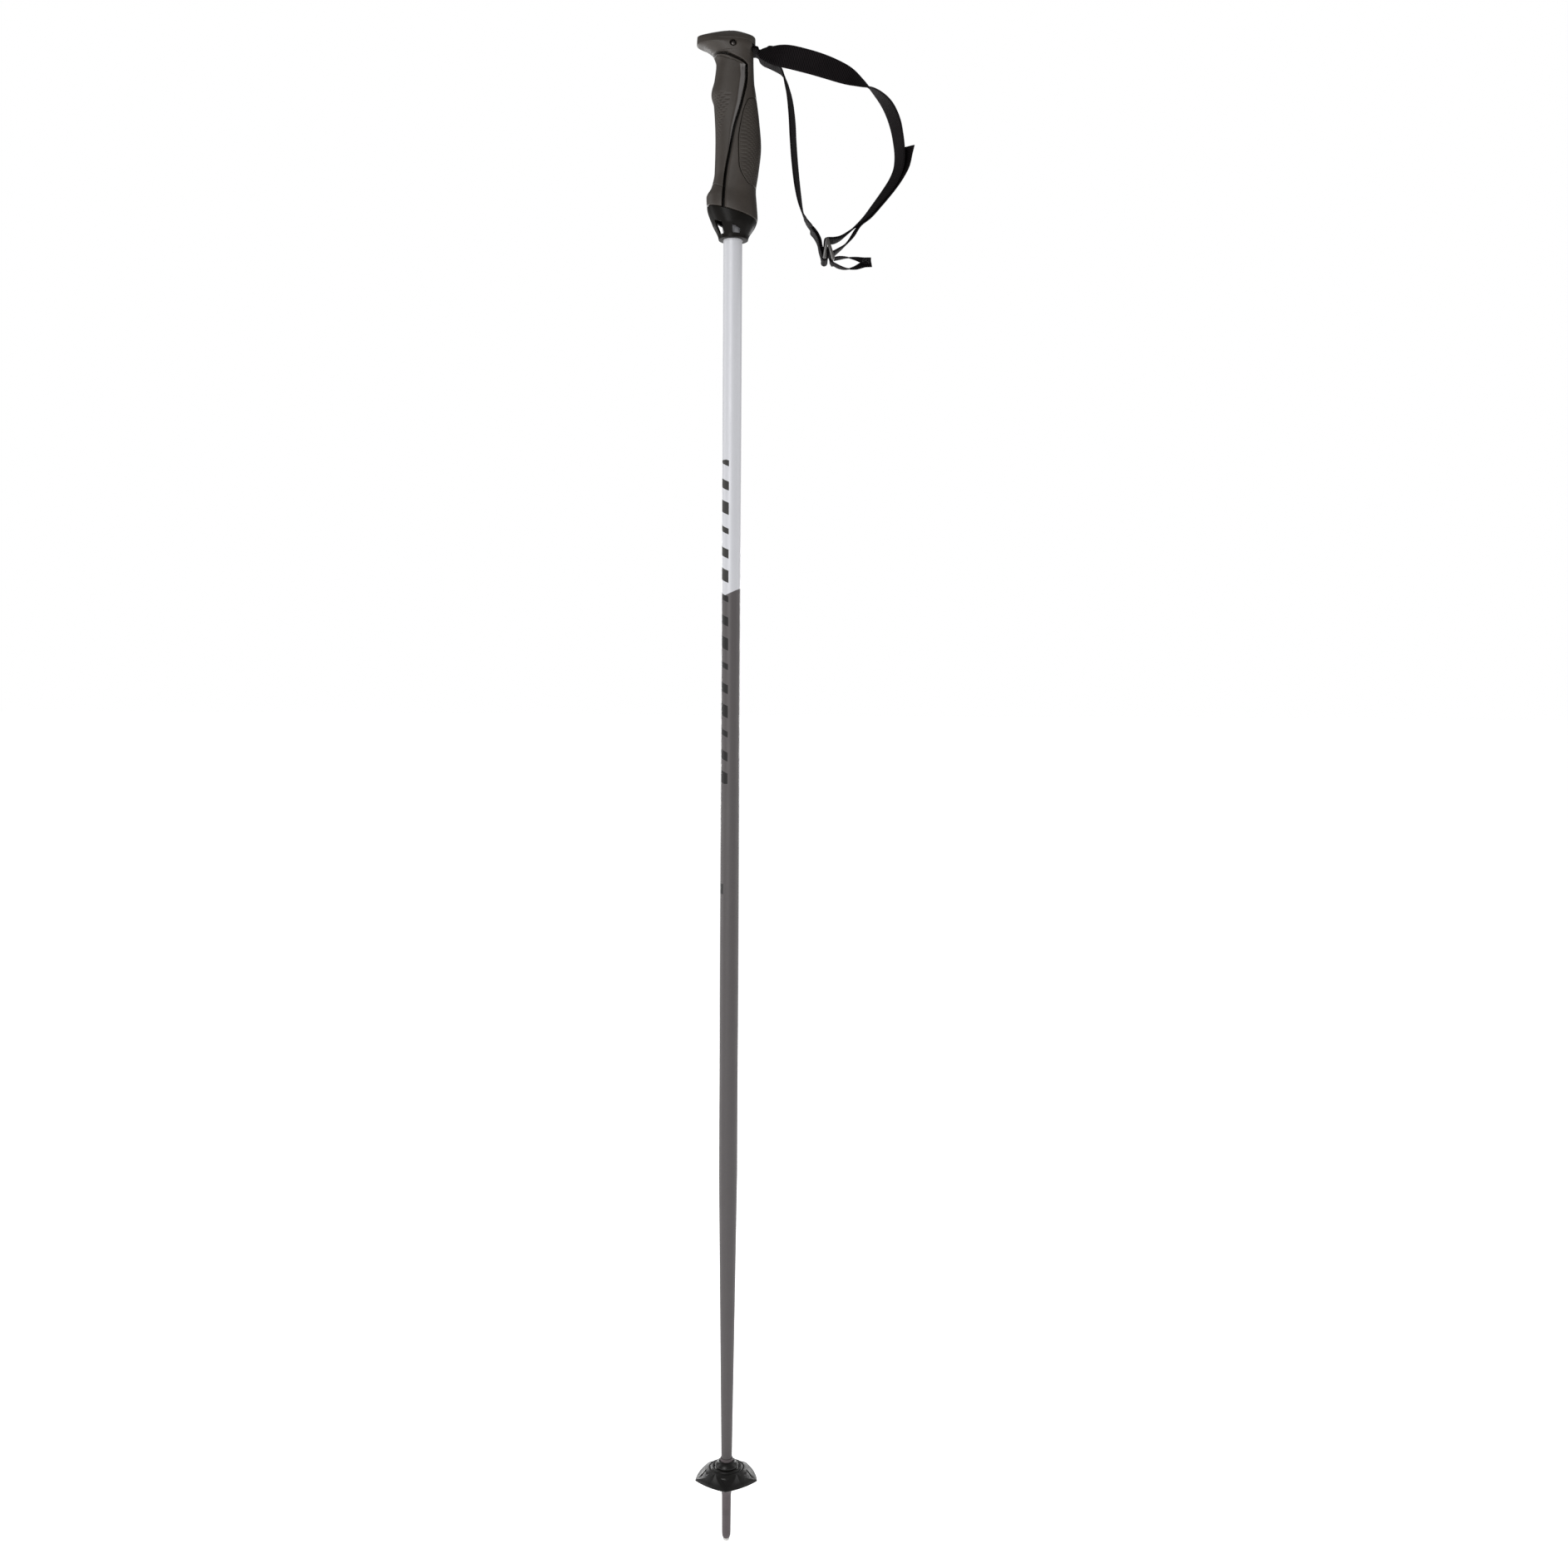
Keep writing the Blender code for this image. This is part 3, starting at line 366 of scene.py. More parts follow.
GRIP_SIDE = [(1124.0, 12.6), (1137, 17.0), (1150, 18.0), (1165, 16.4), (1200, 15.6), (1240, 15.2),
             (1270, 14.6), (1284, 15.2), (1290, 13.6), (1294.5, 9.6), (1298, 4.6), (1300, 0.4)]
GRIP_SQUARENESS = [(1124.0, 2.0), (1150, 2.3), (1240, 2.5), (1300, 2.6)]
GRIP_BEAK_TAPER = [(1124.0, 0.0), (1260, 0.0), (1284, 0.22), (1300, 0.22)]
GRIP_BOTTOM = 1124.0 * MM
GRIP_TOP = 1300.0 * MM
DOME_START = 1290.0 * MM
SHELL_DEPTH = 3.2 * MM
PAD_DEPTH = 1.4 * MM
CORE_TOP = 1271.0 * MM
GROOVE_WIDTH = 2.2 * MM
GROOVE_LINE = [(-45.0, 1282.1), (-24.8, 1278.9), (-9.1, 1276.7), (1.7, 1272.6), (9.0, 1269.0),
               (11.6, 1266.6), (11.6, 1258.0), (7.6, 1236.3), (1.3, 1215.0), (-2.9, 1193.8), (-6.6, 1172.5),
               (-7.9, 1151.2), (-8.4, 1120.0)]
COLLAR_EDGE_FRONT = (-30.0, 1153.6)
COLLAR_EDGE_REAR = (30.0, 1136.6)
COLLAR_WALL = 2.2 * MM
COLLAR_FLOOR = 2.4 * MM
COLLAR_WINDOWS = ((45.0, 1137.4), (104.0, 1132.4))      # degrees from the front, upper edge in mm
COLLAR_WINDOW_SLOPE = -0.42
FAR_WINDOW_RISE = 3.0               # the windows on the +Y side reach this much higher, in mm

PIN_X = 0.0
PIN_Z = 1284.3 * MM
PIN_RADIUS = 2.0 * MM
PIN_HEAD_RADIUS = 2.5 * MM
PIN_HALF_LENGTH = 14.0 * MM
WEB_WIDTH = 20.0 * MM
WEB_THICKNESS = 1.5 * MM
LAYER_PITCH = 1.9 * MM
SLOT_HALF_WIDTH = 10.8 * MM
STRAP_HINGE = (20.5, 1282.3)
BAR_RADIUS = 1.1 * MM
TOP_BAR = (80.0, 1122.2)
FOLD_BAR = (77.9, 1107.9)
LEVER_BAR = (84.9, 1107.2)
SLIDER_INNER_HALF = 10.5 * MM
SLIDER_SIDE = 1.8 * MM
TAB_WIDTH = 11.0 * MM
TAB_THICKNESS = 1.2 * MM

# stations of the webbing: x and z in mm, turn in degrees and, where given, y in mm
LONG_SIDE = [(21.0, 1283.3, 8), (22.6, 1283.0, 30), (25.2, 1281.4, 52), (30.5, 1278.6, 64),
             (38.2, 1276.2, 80), (46.0, 1274.6, 88), (54.7, 1272.6, 90), (70.4, 1268.6, 88),
             (84.0, 1264.6, 80), (97.0, 1260.3, 65), (109.9, 1255.0, 33), (117.8, 1250.8, 9),
             (125.4, 1244.2, -7), (131.5, 1236.0, -17), (137.0, 1223.1, -22), (139.8, 1210.0, -22),
             (141.1, 1197.3, -22), (140.2, 1186.0, -24), (137.2, 1177.5, -26), (133.1, 1170.2, -27),
             (121.1, 1154.3, -22), (113.4, 1144.9, -18), (105.5, 1137.6, -13), (97.5, 1131.0, -9),
             (90.5, 1126.2, -4), (85.4, 1124.6, 0)]
SLIDER_WRAP = [(80.0, 1124.35, 0), (78.48, 1123.72, 0), (77.85, 1122.2, 0), (78.1, 1118.2, 0),
               (79.4, 1114.6, 0), (81.8, 1112.6, 0), (84.4, 1112.9, 0)]
TAIL = [(88.6, 1115.6, 4), (94.4, 1119.9, 9), (100.4, 1126.4, 12)]
TAIL_END = (147.0, 1203.0, 38)
TAIL_FREE_FROM = 1166.0             # above this height the tail stands off the strand
TAIL_SPREAD = 3.2                   # mm
TAIL_TWIST = 14.0                   # degrees
SHORT_SIDE = [(21.0, 1280.9, 0, 1.6), (22.6, 1278.5, 0, 4.4), (25.2, 1276.6, 0, 5.6), (30.5, 1274.4, 0, 6.0),
              (36.0, 1271.6, 0, 5.6), (40.6, 1267.4, 4, 3.8), (43.5, 1261.0, 9, 2.4), (45.4, 1253.8, 12, 1.2),
              (47.5, 1244.6, 14, 0.4), (49.6, 1227.0, 16, 0), (50.6, 1210.2, 16, 0), (52.3, 1188.7, 16, 0),
              (55.2, 1165.0, 14, 0), (58.3, 1150.0, 8, 0), (61.9, 1141.4, 3, 0), (66.4, 1135.4, 0, 0),
              (67.33, 1134.28, 0, 0)]
FOLD_MAIN = [(67.4, 1134.2, 0, 0), (71.6, 1129.0, 0, 0), (74.4, 1123.4, 0, 0), (75.6, 1117.6, 0, 0),
             (77.3, 1113.0, 0, 0)]

# ---------------------------------------------------------------------------
# Mesh helpers
# ---------------------------------------------------------------------------

SAME_PLACE = 0.001 * MM             # vertices closer than this are merged


def add_object(name, bm):
    """Put a bmesh into the scene as an object."""
    mesh = bpy.data.meshes.new(name)
    bm.to_mesh(mesh)
    bm.free()
    thing = bpy.data.objects.new(name, mesh)
    bpy.context.scene.collection.objects.link(thing)
    return thing


def smooth_faces(thing, sharp):
    """Shade a piece smooth, but keep the edges above an angle in degrees sharp."""
    thing.data.shade_smooth()
    thing.data.set_sharp_from_angle(angle=math.radians(sharp))


def keep(name, bm, material, nodes=(), body=None, sharp=32.0):
    """Store a closed bmesh as a piece that stands for CAD nodes and rides on a body."""
    bmesh.ops.remove_doubles(bm, verts=bm.verts, dist=SAME_PLACE)
    bmesh.ops.recalc_face_normals(bm, faces=bm.faces)
    thing = add_object(name, bm)
    smooth_faces(thing, sharp)
    thing.data.materials.append(material)
    if nodes:
        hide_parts(*nodes)
    if body:
        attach(thing, body)
    return thing


def stitch(bm, rings, closed_path, closed_rings=True):
    """Join rings of vertices into a skin; an open path of closed rings gets end caps."""
    count = len(rings[0])
    pairs = list(zip(rings, rings[1:]))
    if closed_path:
        pairs.append((rings[-1], rings[0]))
    for lower, upper in pairs:
        for i in range(count if closed_rings else count - 1):
            j = (i + 1) % count
            bm.faces.new((lower[i], lower[j], upper[j], upper[i]))
    if closed_rings and not closed_path:
        bm.faces.new(list(reversed(rings[0])))
        bm.faces.new(rings[-1])


def rounded(profile, radii, steps=5):
    """A closed (radius, height) profile with some corners rounded; radii are in mm, 0 stays sharp."""
    soft = []
    count = len(profile)
    for k, (point, radius) in enumerate(zip(profile, radii)):
        here = Vector(point)
        before = Vector(profile[k - 1]) - here
        after = Vector(profile[(k + 1) % count]) - here
        reach = min(radius * MM, before.length * 0.45, after.length * 0.45)
        if reach <= 0.0:
            soft.append(tuple(here))
            continue
        start = here + before.normalized() * reach
        end = here + after.normalized() * reach
        for step in range(steps + 1):
            t = step / steps
            soft.append(tuple(start * (1 - t)**2 + here * 2 * t * (1 - t) + end * t**2))
    return soft


def turned(profile, segments, center=(0.0, 0.0), along_y=False):
    """A closed (radius, height) profile spun about Z, or about a Y line through center (x, z)."""
    bm = bmesh.new()
    rings = []
    for k in range(segments):
        angle = 2.0 * math.pi * k / segments
        ring = []
        for radius, height in profile:
            across, up = radius * math.cos(angle), radius * math.sin(angle)
            if along_y:
                ring.append(bm.verts.new((center[0] + across, height, center[1] + up)))
            else:
                ring.append(bm.verts.new((center[0] + across, center[1] + up, height)))
        rings.append(ring)
    stitch(bm, rings, closed_path=True)
    bmesh.ops.remove_doubles(bm, verts=bm.verts, dist=SAME_PLACE)
    bmesh.ops.dissolve_degenerate(bm, edges=bm.edges, dist=SAME_PLACE)
    return bm


def prism(outline_mm, low_y, high_y):
    """An outline in the XZ plane, in mm, extruded between two depths along Y."""
    bm = bmesh.new()
    rings = [[bm.verts.new((x * MM, y, z * MM)) for x, z in outline_mm] for y in (low_y, high_y)]
    stitch(bm, rings, closed_path=False)
    return bm


def combine(thing, bm, operation):
    """Cut a closed bmesh out of a piece (DIFFERENCE) or join it to the piece (UNION)."""
    bmesh.ops.recalc_face_normals(bm, faces=bm.faces)
    tool = add_object("tool", bm)
    modifier = thing.modifiers.new("combine", "BOOLEAN")
    modifier.operation = operation
    modifier.solver = "EXACT"
    modifier.object = tool
    graph = bpy.context.evaluated_depsgraph_get()
    result = bpy.data.meshes.new_from_object(thing.evaluated_get(graph), depsgraph=graph)
    thing.modifiers.clear()
    thing.data = result
    bpy.data.objects.remove(tool, do_unlink=True)


def smoothstep(value, low, high):
    """0 below low, 1 above high and smooth between."""
    t = min(max((value - low) / (high - low), 0.0), 1.0)
    return t * t * (3.0 - 2.0 * t)


# ---------------------------------------------------------------------------
# Tube, ferrule, tip and basket
# ---------------------------------------------------------------------------


def tube_radius(height):
    """Outer radius of the tube at a height."""
    return TUBE_RADIUS - TAPER_SLOPE * max(0.0, TAPER_START - height)


def make_tube():
    """The tapered tube, with its swaged lower edge rolled in."""
    heights = [TUBE_BOTTOM + (TAPER_START - TUBE_BOTTOM) * k / 12 for k in range(13)]
    heights += [TAPER_START + (TUBE_TOP - TAPER_START) * k / 24 for k in range(1, 25)]
    outer = [(tube_radius(z), z) for z in heights]
    inner = [(tube_radius(z) - TUBE_WALL, z) for z in (TUBE_TOP, TAPER_START, TUBE_BOTTOM)]
    radii = [0.35] + [0.0] * (len(outer) - 2) + [0.3] + [0.0] * len(inner)
    keep("tube", turned(rounded(outer + inner, radii), 96), tube_paint(),
         ["shaft_tube"], "root")


def make_ferrule(plastic):
    """The plastic ferrule with its basket flange, two fine mould rings and a rounded nose."""
    socket_gap = 0.2 * MM
    bore = TIP_STEM_RADIUS + socket_gap
    socket_floor = TUBE_BOTTOM - GAP
    profile = [(bore, FERRULE_BOTTOM), (3.0 * MM, FERRULE_BOTTOM), (3.6 * MM, 4.2 * MM),
               (3.75 * MM, 7.0 * MM), (3.78 * MM, 8.2 * MM), (3.66 * MM, 8.5 * MM), (3.80 * MM, 8.8 * MM),
               (4.0 * MM, 40.0 * MM), (4.5 * MM, 44.0 * MM), (6.9 * MM, 47.0 * MM), (6.9 * MM, 49.4 * MM),
               (FERRULE_RADIUS, 49.4 * MM), (FERRULE_RADIUS, FERRULE_TOP - 0.5 * MM),
               (FERRULE_RADIUS - 0.2 * MM, FERRULE_TOP),
               (tube_radius(FERRULE_TOP) + socket_gap, FERRULE_TOP),
               (tube_radius(socket_floor) + socket_gap, socket_floor), (0.0, socket_floor),
               (0.0, TIP_STEM_TOP + GAP), (bore, TIP_STEM_TOP + GAP)]
    radii = [0.0, 0.3, 0.5, 0.8, 0.1, 0.1, 0.1, 3.0, 2.0, 0.7, 0.5, 0.0, 0.2, 0.15, 0.0, 0.0, 0.0, 0.0, 0.0]
    keep("ferrule", turned(rounded(profile, radii), 72), plastic, ["tip_ferrule"], "root")


def make_tip(steel):
    """The steel tip: a hollow-ground crown of small teeth round a dished end."""
    teeth = 8
    segments = 96
    dish = 0.7 * MM
    bm = bmesh.new()
    rings = []
    for k in range(segments):
        angle = 2.0 * math.pi * k / segments
        notch = 0.45 * MM * (0.5 - 0.5 * math.cos(teeth * angle))**3
        profile = [(0.0, dish), (0.9 * MM, dish * 0.85), (1.7 * MM, dish * 0.4 + notch), (2.1 * MM, notch),
                   (2.4 * MM, notch), (2.65 * MM, 0.25 * MM + notch * 0.7), (TIP_RADIUS, 0.75 * MM),
                   (TIP_RADIUS, TIP_HEIGHT - 0.1 * MM), (TIP_RADIUS - 0.1 * MM, TIP_HEIGHT),
                   (TIP_STEM_RADIUS, TIP_HEIGHT), (TIP_STEM_RADIUS, TIP_STEM_TOP), (0.0, TIP_STEM_TOP)]
        rings.append([bm.verts.new((r * math.cos(angle), r * math.sin(angle), z)) for r, z in profile])
    stitch(bm, rings, closed_path=True)
    bmesh.ops.remove_doubles(bm, verts=bm.verts, dist=SAME_PLACE)
    bmesh.ops.dissolve_degenerate(bm, edges=bm.edges, dist=SAME_PLACE)
    keep("tip", bm, steel, ["tip_insert"], "root", 40.0)


RIM_Z = 57.2 * MM                   # upper edge of the basket's rim
SHOULDER_RADIUS = 15.6 * MM         # where its facets meet the round shoulder
SHOULDER_Z = 64.4 * MM
UNDER_RADIUS = 14.8 * MM            # the ribbed underside runs from here
UNDER_Z = 61.9 * MM
UNDER_EDGE_Z = 56.7 * MM            # to this height beside the rim
UNDER_INSET = 2.2 * MM
RIB_DROP = 1.5 * MM
CREASE_DROP = 0.8 * MM              # how far a facet's middle lies below its creases
ARROW_DEPTH = 0.6 * MM


def basket_edge_radius(angle):
    """Rim radius of the five-cornered basket: convex arcs between the corners, one corner at -Y."""
    sector = 2.0 * math.pi / BASKET_SIDES
    away = (angle + math.pi / 2) % sector - sector / 2
    half_chord = BASKET_CORNER_RADIUS * math.sin(sector / 2)
    bulge = BASKET_EDGE_RADIUS - BASKET_CORNER_RADIUS * math.cos(sector / 2)
    arc_radius = (half_chord**2 + bulge**2) / (2.0 * bulge)
    arc_center = BASKET_EDGE_RADIUS - arc_radius
    return arc_center * math.cos(away) + math.sqrt(arc_radius**2 - (arc_center * math.sin(away))**2)


def facet_height(angle, radius):
    """Top of the basket between shoulder and rim: five corner facets and five edge facets."""
    edge = basket_edge_radius(angle)
    t = min(max((radius - SHOULDER_RADIUS) / (edge - SHOULDER_RADIUS), 0.0), 1.0)
    height = SHOULDER_Z + (RIM_Z - SHOULDER_Z) * t
    sector = 2.0 * math.pi / BASKET_SIDES
    from_corner = abs((angle + math.pi / 2 + sector / 2) % sector - sector / 2)
    crease = (1.0 - t) * sector / 2
    if from_corner < crease:
        inside = 1.0 - from_corner / max(crease, 0.001)
    else:
        inside = 1.0 - (sector / 2 - from_corner) / max(sector / 2 - crease, 0.001)
    height -= CREASE_DROP * inside * math.sin(math.pi * t)
    return height - ARROW_DEPTH * arrow_share(radius, from_corner)


def arrow_share(radius, from_corner):
    """1 inside the arrow-shaped recess of a corner facet, 0 outside it, with a steep wall."""
    base, apex = 17.4 * MM, 24.6 * MM
    across = radius * math.sin(from_corner)
    along = radius * math.cos(from_corner)
    half_base = 4.1 * MM
    wall = 0.35 * MM
    taper = half_base * (apex - along) / (apex - base)
    inside = min(taper - across, along - base - 0.8 * MM * (1.0 - across / half_base))
    return smoothstep(inside, -wall, wall)


def make_basket(plastic):
    """The basket: hub collar, washer rings, facets with arrow recesses, rim and radial ribs underneath."""
    bore = FERRULE_RADIUS + GAP
    count = 360
    ribs = 10
    hub = [(5.8, 69.9), (5.9, 70.4), (6.2, 70.6), (6.7, 70.55), (7.5, 70.2), (8.3, 69.6), (9.0, 68.8),
           (9.6, 67.9), (10.0, 67.0), (10.1, 66.4), (9.95, 65.95), (9.8, 65.4), (10.3, 65.1),
           (10.6, 65.5), (11.0, 65.85), (11.5, 65.9), (12.3, 65.85), (12.9, 65.6), (13.2, 65.2),
           (13.3, 64.7), (13.7, 64.45), (14.1, 64.7), (14.6, 64.75), (15.0, 64.72)]
    lower = [(8.4, 49.7), (8.5, 55.0), (8.6, 59.5), (9.6, 61.7), (11.0, 62.6), (14.8, 61.9)]
    bm = bmesh.new()
    rings = []
    for k in range(count):
        angle = 2.0 * math.pi * k / count - math.pi / 2
        edge = basket_edge_radius(angle)
        profile = [(r * MM, z * MM) for r, z in reversed(hub)]
        profile += [(bore, 69.0 * MM), (bore, BASKET_HUB_BOTTOM)]
        rib = 0.5 + 0.5 * math.cos(ribs * angle)
        rib_share = smoothstep(rib, 0.965, 0.985)
        for r, z in lower:
            profile.append((r * MM, z * MM))
        under_steps = 9
        for step in range(1, under_steps + 1):
            t = step / under_steps
            radius = UNDER_RADIUS + (edge - UNDER_INSET - UNDER_RADIUS) * t
            height = UNDER_Z + (UNDER_EDGE_Z - UNDER_Z) * t
            drop = RIB_DROP * rib_share * math.sin(math.pi * t)
            profile.append((radius, height - drop))
        profile += [(edge - 1.7 * MM, 56.25 * MM), (edge - 1.0 * MM, 56.0 * MM), (edge - 0.4 * MM, 56.1 * MM),
                    (edge - 0.05 * MM, 56.45 * MM), (edge, 56.8 * MM), (edge - 0.15 * MM, 57.15 * MM),
                    (edge - 0.5 * MM, 57.5 * MM)]
        top_steps = 34
        for step in range(1, top_steps + 1):
            radius = edge - 0.9 * MM + (SHOULDER_RADIUS - edge + 0.9 * MM) * step / top_steps
            profile.append((radius, facet_height(angle, radius) + 0.25 * MM))
        rings.append([bm.verts.new((r * math.cos(angle), r * math.sin(angle), z)) for r, z in profile])
    stitch(bm, rings, closed_path=True)
    keep("snow_basket", bm, plastic, ["basket"], "basket", 24.0)


# ---------------------------------------------------------------------------
# Grip
# ---------------------------------------------------------------------------

HEIGHT_STEP = 0.02                  # sections are kept for heights this far apart, in mm
SLANT_ROUNDS = 4                    # repeats that settle a height on a slanted row
ROW_PITCH = 0.45 * MM
SLANT_END = 1182.0 * MM             # rows are level above this and follow the collar's edge below
COLLAR_SLOPE = (COLLAR_EDGE_REAR[1] - COLLAR_EDGE_FRONT[1]) / (COLLAR_EDGE_REAR[0] - COLLAR_EDGE_FRONT[0])
COLLAR_LEVEL = (COLLAR_EDGE_FRONT[1] - COLLAR_SLOPE * COLLAR_EDGE_FRONT[0]) * MM
SHELL_START = COLLAR_LEVEL + GAP    # row of the shells' lower edge
LIP_RADIUS = 0.7 * MM
STRIP_WIDTH = [(1186.0, 0.05), (1214.0, 2.6), (1236.0, 4.2), (1264.0, 5.6), (1270.0, 5.6)]
STRIP_DEPTH = 1.3 * MM
PAD_EDGE = [(1165.0, 24.0), (1169.0, 13.0), (1184.0, 5.6), (1204.0, 5.0), (1224.0, 8.0), (1238.0, 13.0),
            (1242.0, 20.0)]
PAD_BOTTOM = 1166.0 * MM
PAD_TOP = 1241.5 * MM


def curve_value(points_mm, height):
    """Smooth value at a height, read from (height, value) points without overshoot."""
    z = height / MM
    if z <= points_mm[0][0]:
        return points_mm[0][1] * MM
    if z >= points_mm[-1][0]:
        return points_mm[-1][1] * MM
    k = next(i for i in range(len(points_mm) - 1) if points_mm[i + 1][0] >= z)

    def slope(i):
        if i == 0 or i == len(points_mm) - 1:
            return 0.0
        before = (points_mm[i][1] - points_mm[i - 1][1]) / (points_mm[i][0] - points_mm[i - 1][0])
        after = (points_mm[i + 1][1] - points_mm[i][1]) / (points_mm[i + 1][0] - points_mm[i][0])
        return 0.0 if before * after <= 0.0 else 2.0 * before * after / (before + after)

    span = points_mm[k + 1][0] - points_mm[k][0]
    t = (z - points_mm[k][0]) / span
    start, end = points_mm[k][1], points_mm[k + 1][1]
    value = (start * (2 * t**3 - 3 * t**2 + 1) + span * slope(k) * (t**3 - 2 * t**2 + t)
             + end * (3 * t**2 - 2 * t**3) + span * slope(k + 1) * (t**3 - t**2))
    return value * MM


class Section:
    """One horizontal section of the grip, a rounded square, moved inwards by inset."""

    def __init__(self, height, inset):
        front = curve_value(GRIP_FRONT, height) + inset
        rear = curve_value(GRIP_REAR, height) - inset
        self.half_depth = max(curve_value(GRIP_SIDE, height) - inset, 0.2 * MM)
        self.power = 2.0 / (curve_value(GRIP_SQUARENESS, height) / MM)
        self.taper = curve_value(GRIP_BEAK_TAPER, height) / MM
        self.middle = (front + rear) / 2
        self.half_length = max((rear - front) / 2, 0.4 * MM)

    def point(self, angle):
        """(x, y) at an angle from the rear."""
        c, s = math.cos(angle), math.sin(angle)
        x = self.middle + self.half_length * math.copysign(abs(c)**self.power, c)
        return x, self.half_depth * math.copysign(abs(s)**self.power, s) * (1.0 + self.taper * c)

    def inward(self, angle):
        """Level unit vector into the grip at an angle."""
        step = 0.012
        (ax, ay), (bx, by) = self.point(angle - step), self.point(angle + step)
        length = math.hypot(bx - ax, by - ay) or 1.0
        return -(by - ay) / length, (bx - ax) / length

    def angle_at(self, x):
        """Angle on the +Y side where the section passes x."""
        share = min(max((x - self.middle) / self.half_length, -1.0), 1.0)
        return math.acos(math.copysign(abs(share)**(1.0 / self.power), share))


@functools.lru_cache(maxsize=None)
def kept_section(step, inset):
    """Section at a height given in steps."""
    return Section(step * HEIGHT_STEP * MM, inset)


def section_at(height, inset=0.0):
    """Section nearest to a height."""
    return kept_section(round(height / (HEIGHT_STEP * MM)), inset)


def slant(row):
    """Fall of a row per length towards the rear."""
    return COLLAR_SLOPE * (1.0 - smoothstep(row, SHELL_START, SLANT_END))


def place_on(row, angle, inset=0.0):
    """(x, y, z) of the grip's surface on a row, and the section found there."""
    z = row
    fall = slant(row)
    for _ in range(1 if fall == 0.0 else SLANT_ROUNDS):
        section = section_at(z, inset)
        x, y = section.point(angle)
        z = row + fall * x
    return x, y, z, section


def edge_angle(row, edge, inset=0.0):
    """Angle on the +Y side where a row's surface meets a piece's edge, given as x for a height."""
    z = row
    fall = slant(row)
    for _ in range(1 if fall == 0.0 else SLANT_ROUNDS):
        x = edge(z)
        z = row + fall * x
    return section_at(z, inset).angle_at(x)


PARTING = [(z, x) for x, z in reversed(GROOVE_LINE)]    # the parting line, rising


@functools.lru_cache(maxsize=None)
def kept_parting(step):
    """x of the parting line and its lean, at a height given in steps."""
    height = step * HEIGHT_STEP * MM
    probe = 0.05 * MM
    lean = (curve_value(PARTING, height + probe) - curve_value(PARTING, height - probe)) / (2 * probe)
    return curve_value(PARTING, height), lean


def parting_distance(x, z):
    """Distance from the parting line, positive on the finger side."""
    line, lean = kept_parting(round(z / (HEIGHT_STEP * MM)))
    return (line - x) / math.sqrt(1.0 + lean * lean)


def parting_edge(side):
    """x for a height of the edge that lies beside the parting line; side 1 is the finger side."""
    def edge(height):
        line, lean = kept_parting(round(height / (HEIGHT_STEP * MM)))
        return line - side * GROOVE_WIDTH / 2 * math.sqrt(1.0 + lean * lean)
    return edge


def lip(distance, radius=LIP_RADIUS):
    """Depth of a rounded edge at a distance from it."""
    if distance >= radius:
        return 0.0
    near = min(max(radius - distance, 0.0), radius)
    return radius - math.sqrt(radius * radius - near * near)


def channel(distance, half_width, depth):
    """Depth of a fine engraved line at a distance from its middle."""
    return depth * (1.0 - smoothstep(abs(distance), half_width * 0.4, half_width))


def dimple(across, up, pitch, radius, depth):
    """Depth of a field of round dimples in staggered rows."""
    row = round(up / (pitch * 0.866))
    shift = 0.5 * pitch if row % 2 else 0.0
    near = across - shift - pitch * round((across - shift) / pitch)
    distance = math.hypot(near, up - row * pitch * 0.866)
    return depth * (1.0 - smoothstep(distance, radius * 0.25, radius))


def pad_inside(x, z):
    """Distance inside the palm pad's outline, negative outside."""
    probe = 0.2 * MM
    line = curve_value(PAD_EDGE, z)
    lean = (curve_value(PAD_EDGE, z + probe) - curve_value(PAD_EDGE, z - probe)) / (2 * probe)
    return min((x - line) / math.sqrt(1.0 + lean * lean), z - PAD_BOTTOM, PAD_TOP - z)


def finger_relief(x, y, z, row):
    """Depth below the plain form on the finger side: lips, bright strip, second line, dimples."""
    beside = parting_distance(x, z) - GROOVE_WIDTH / 2
    depth = lip(beside) + lip(row - SHELL_START)
    width = curve_value(STRIP_WIDTH, z)
    top = 1.0 - smoothstep(z, 1264.5 * MM, 1267.0 * MM)
    if beside < width:
        depth += STRIP_DEPTH * top * (width / (5.6 * MM))**0.8 * (1.0 - beside / width)
    upper = smoothstep(z, 1258.0 * MM, 1264.0 * MM)
    depth += upper * channel(beside - 2.1 * MM, 0.55 * MM, 0.55 * MM)
    seam = (z - 1168.0 * MM) + 0.5 * (x + 15.0 * MM)
    front = smoothstep(-x, 5.0 * MM, 8.0 * MM)
    depth += front * channel(seam / 1.12, 0.5 * MM, 0.45 * MM)
    zone = smoothstep(seam, 0.8 * MM, 1.8 * MM) * (1.0 - smoothstep(z, 1240.0 * MM, 1246.0 * MM))
    zone *= smoothstep(beside, 8.5 * MM, 10.5 * MM)
    if zone > 0.0:
        depth += zone * dimple(y, z - 1164.0 * MM, 2.3 * MM, 0.95 * MM, 0.42 * MM)
    return depth


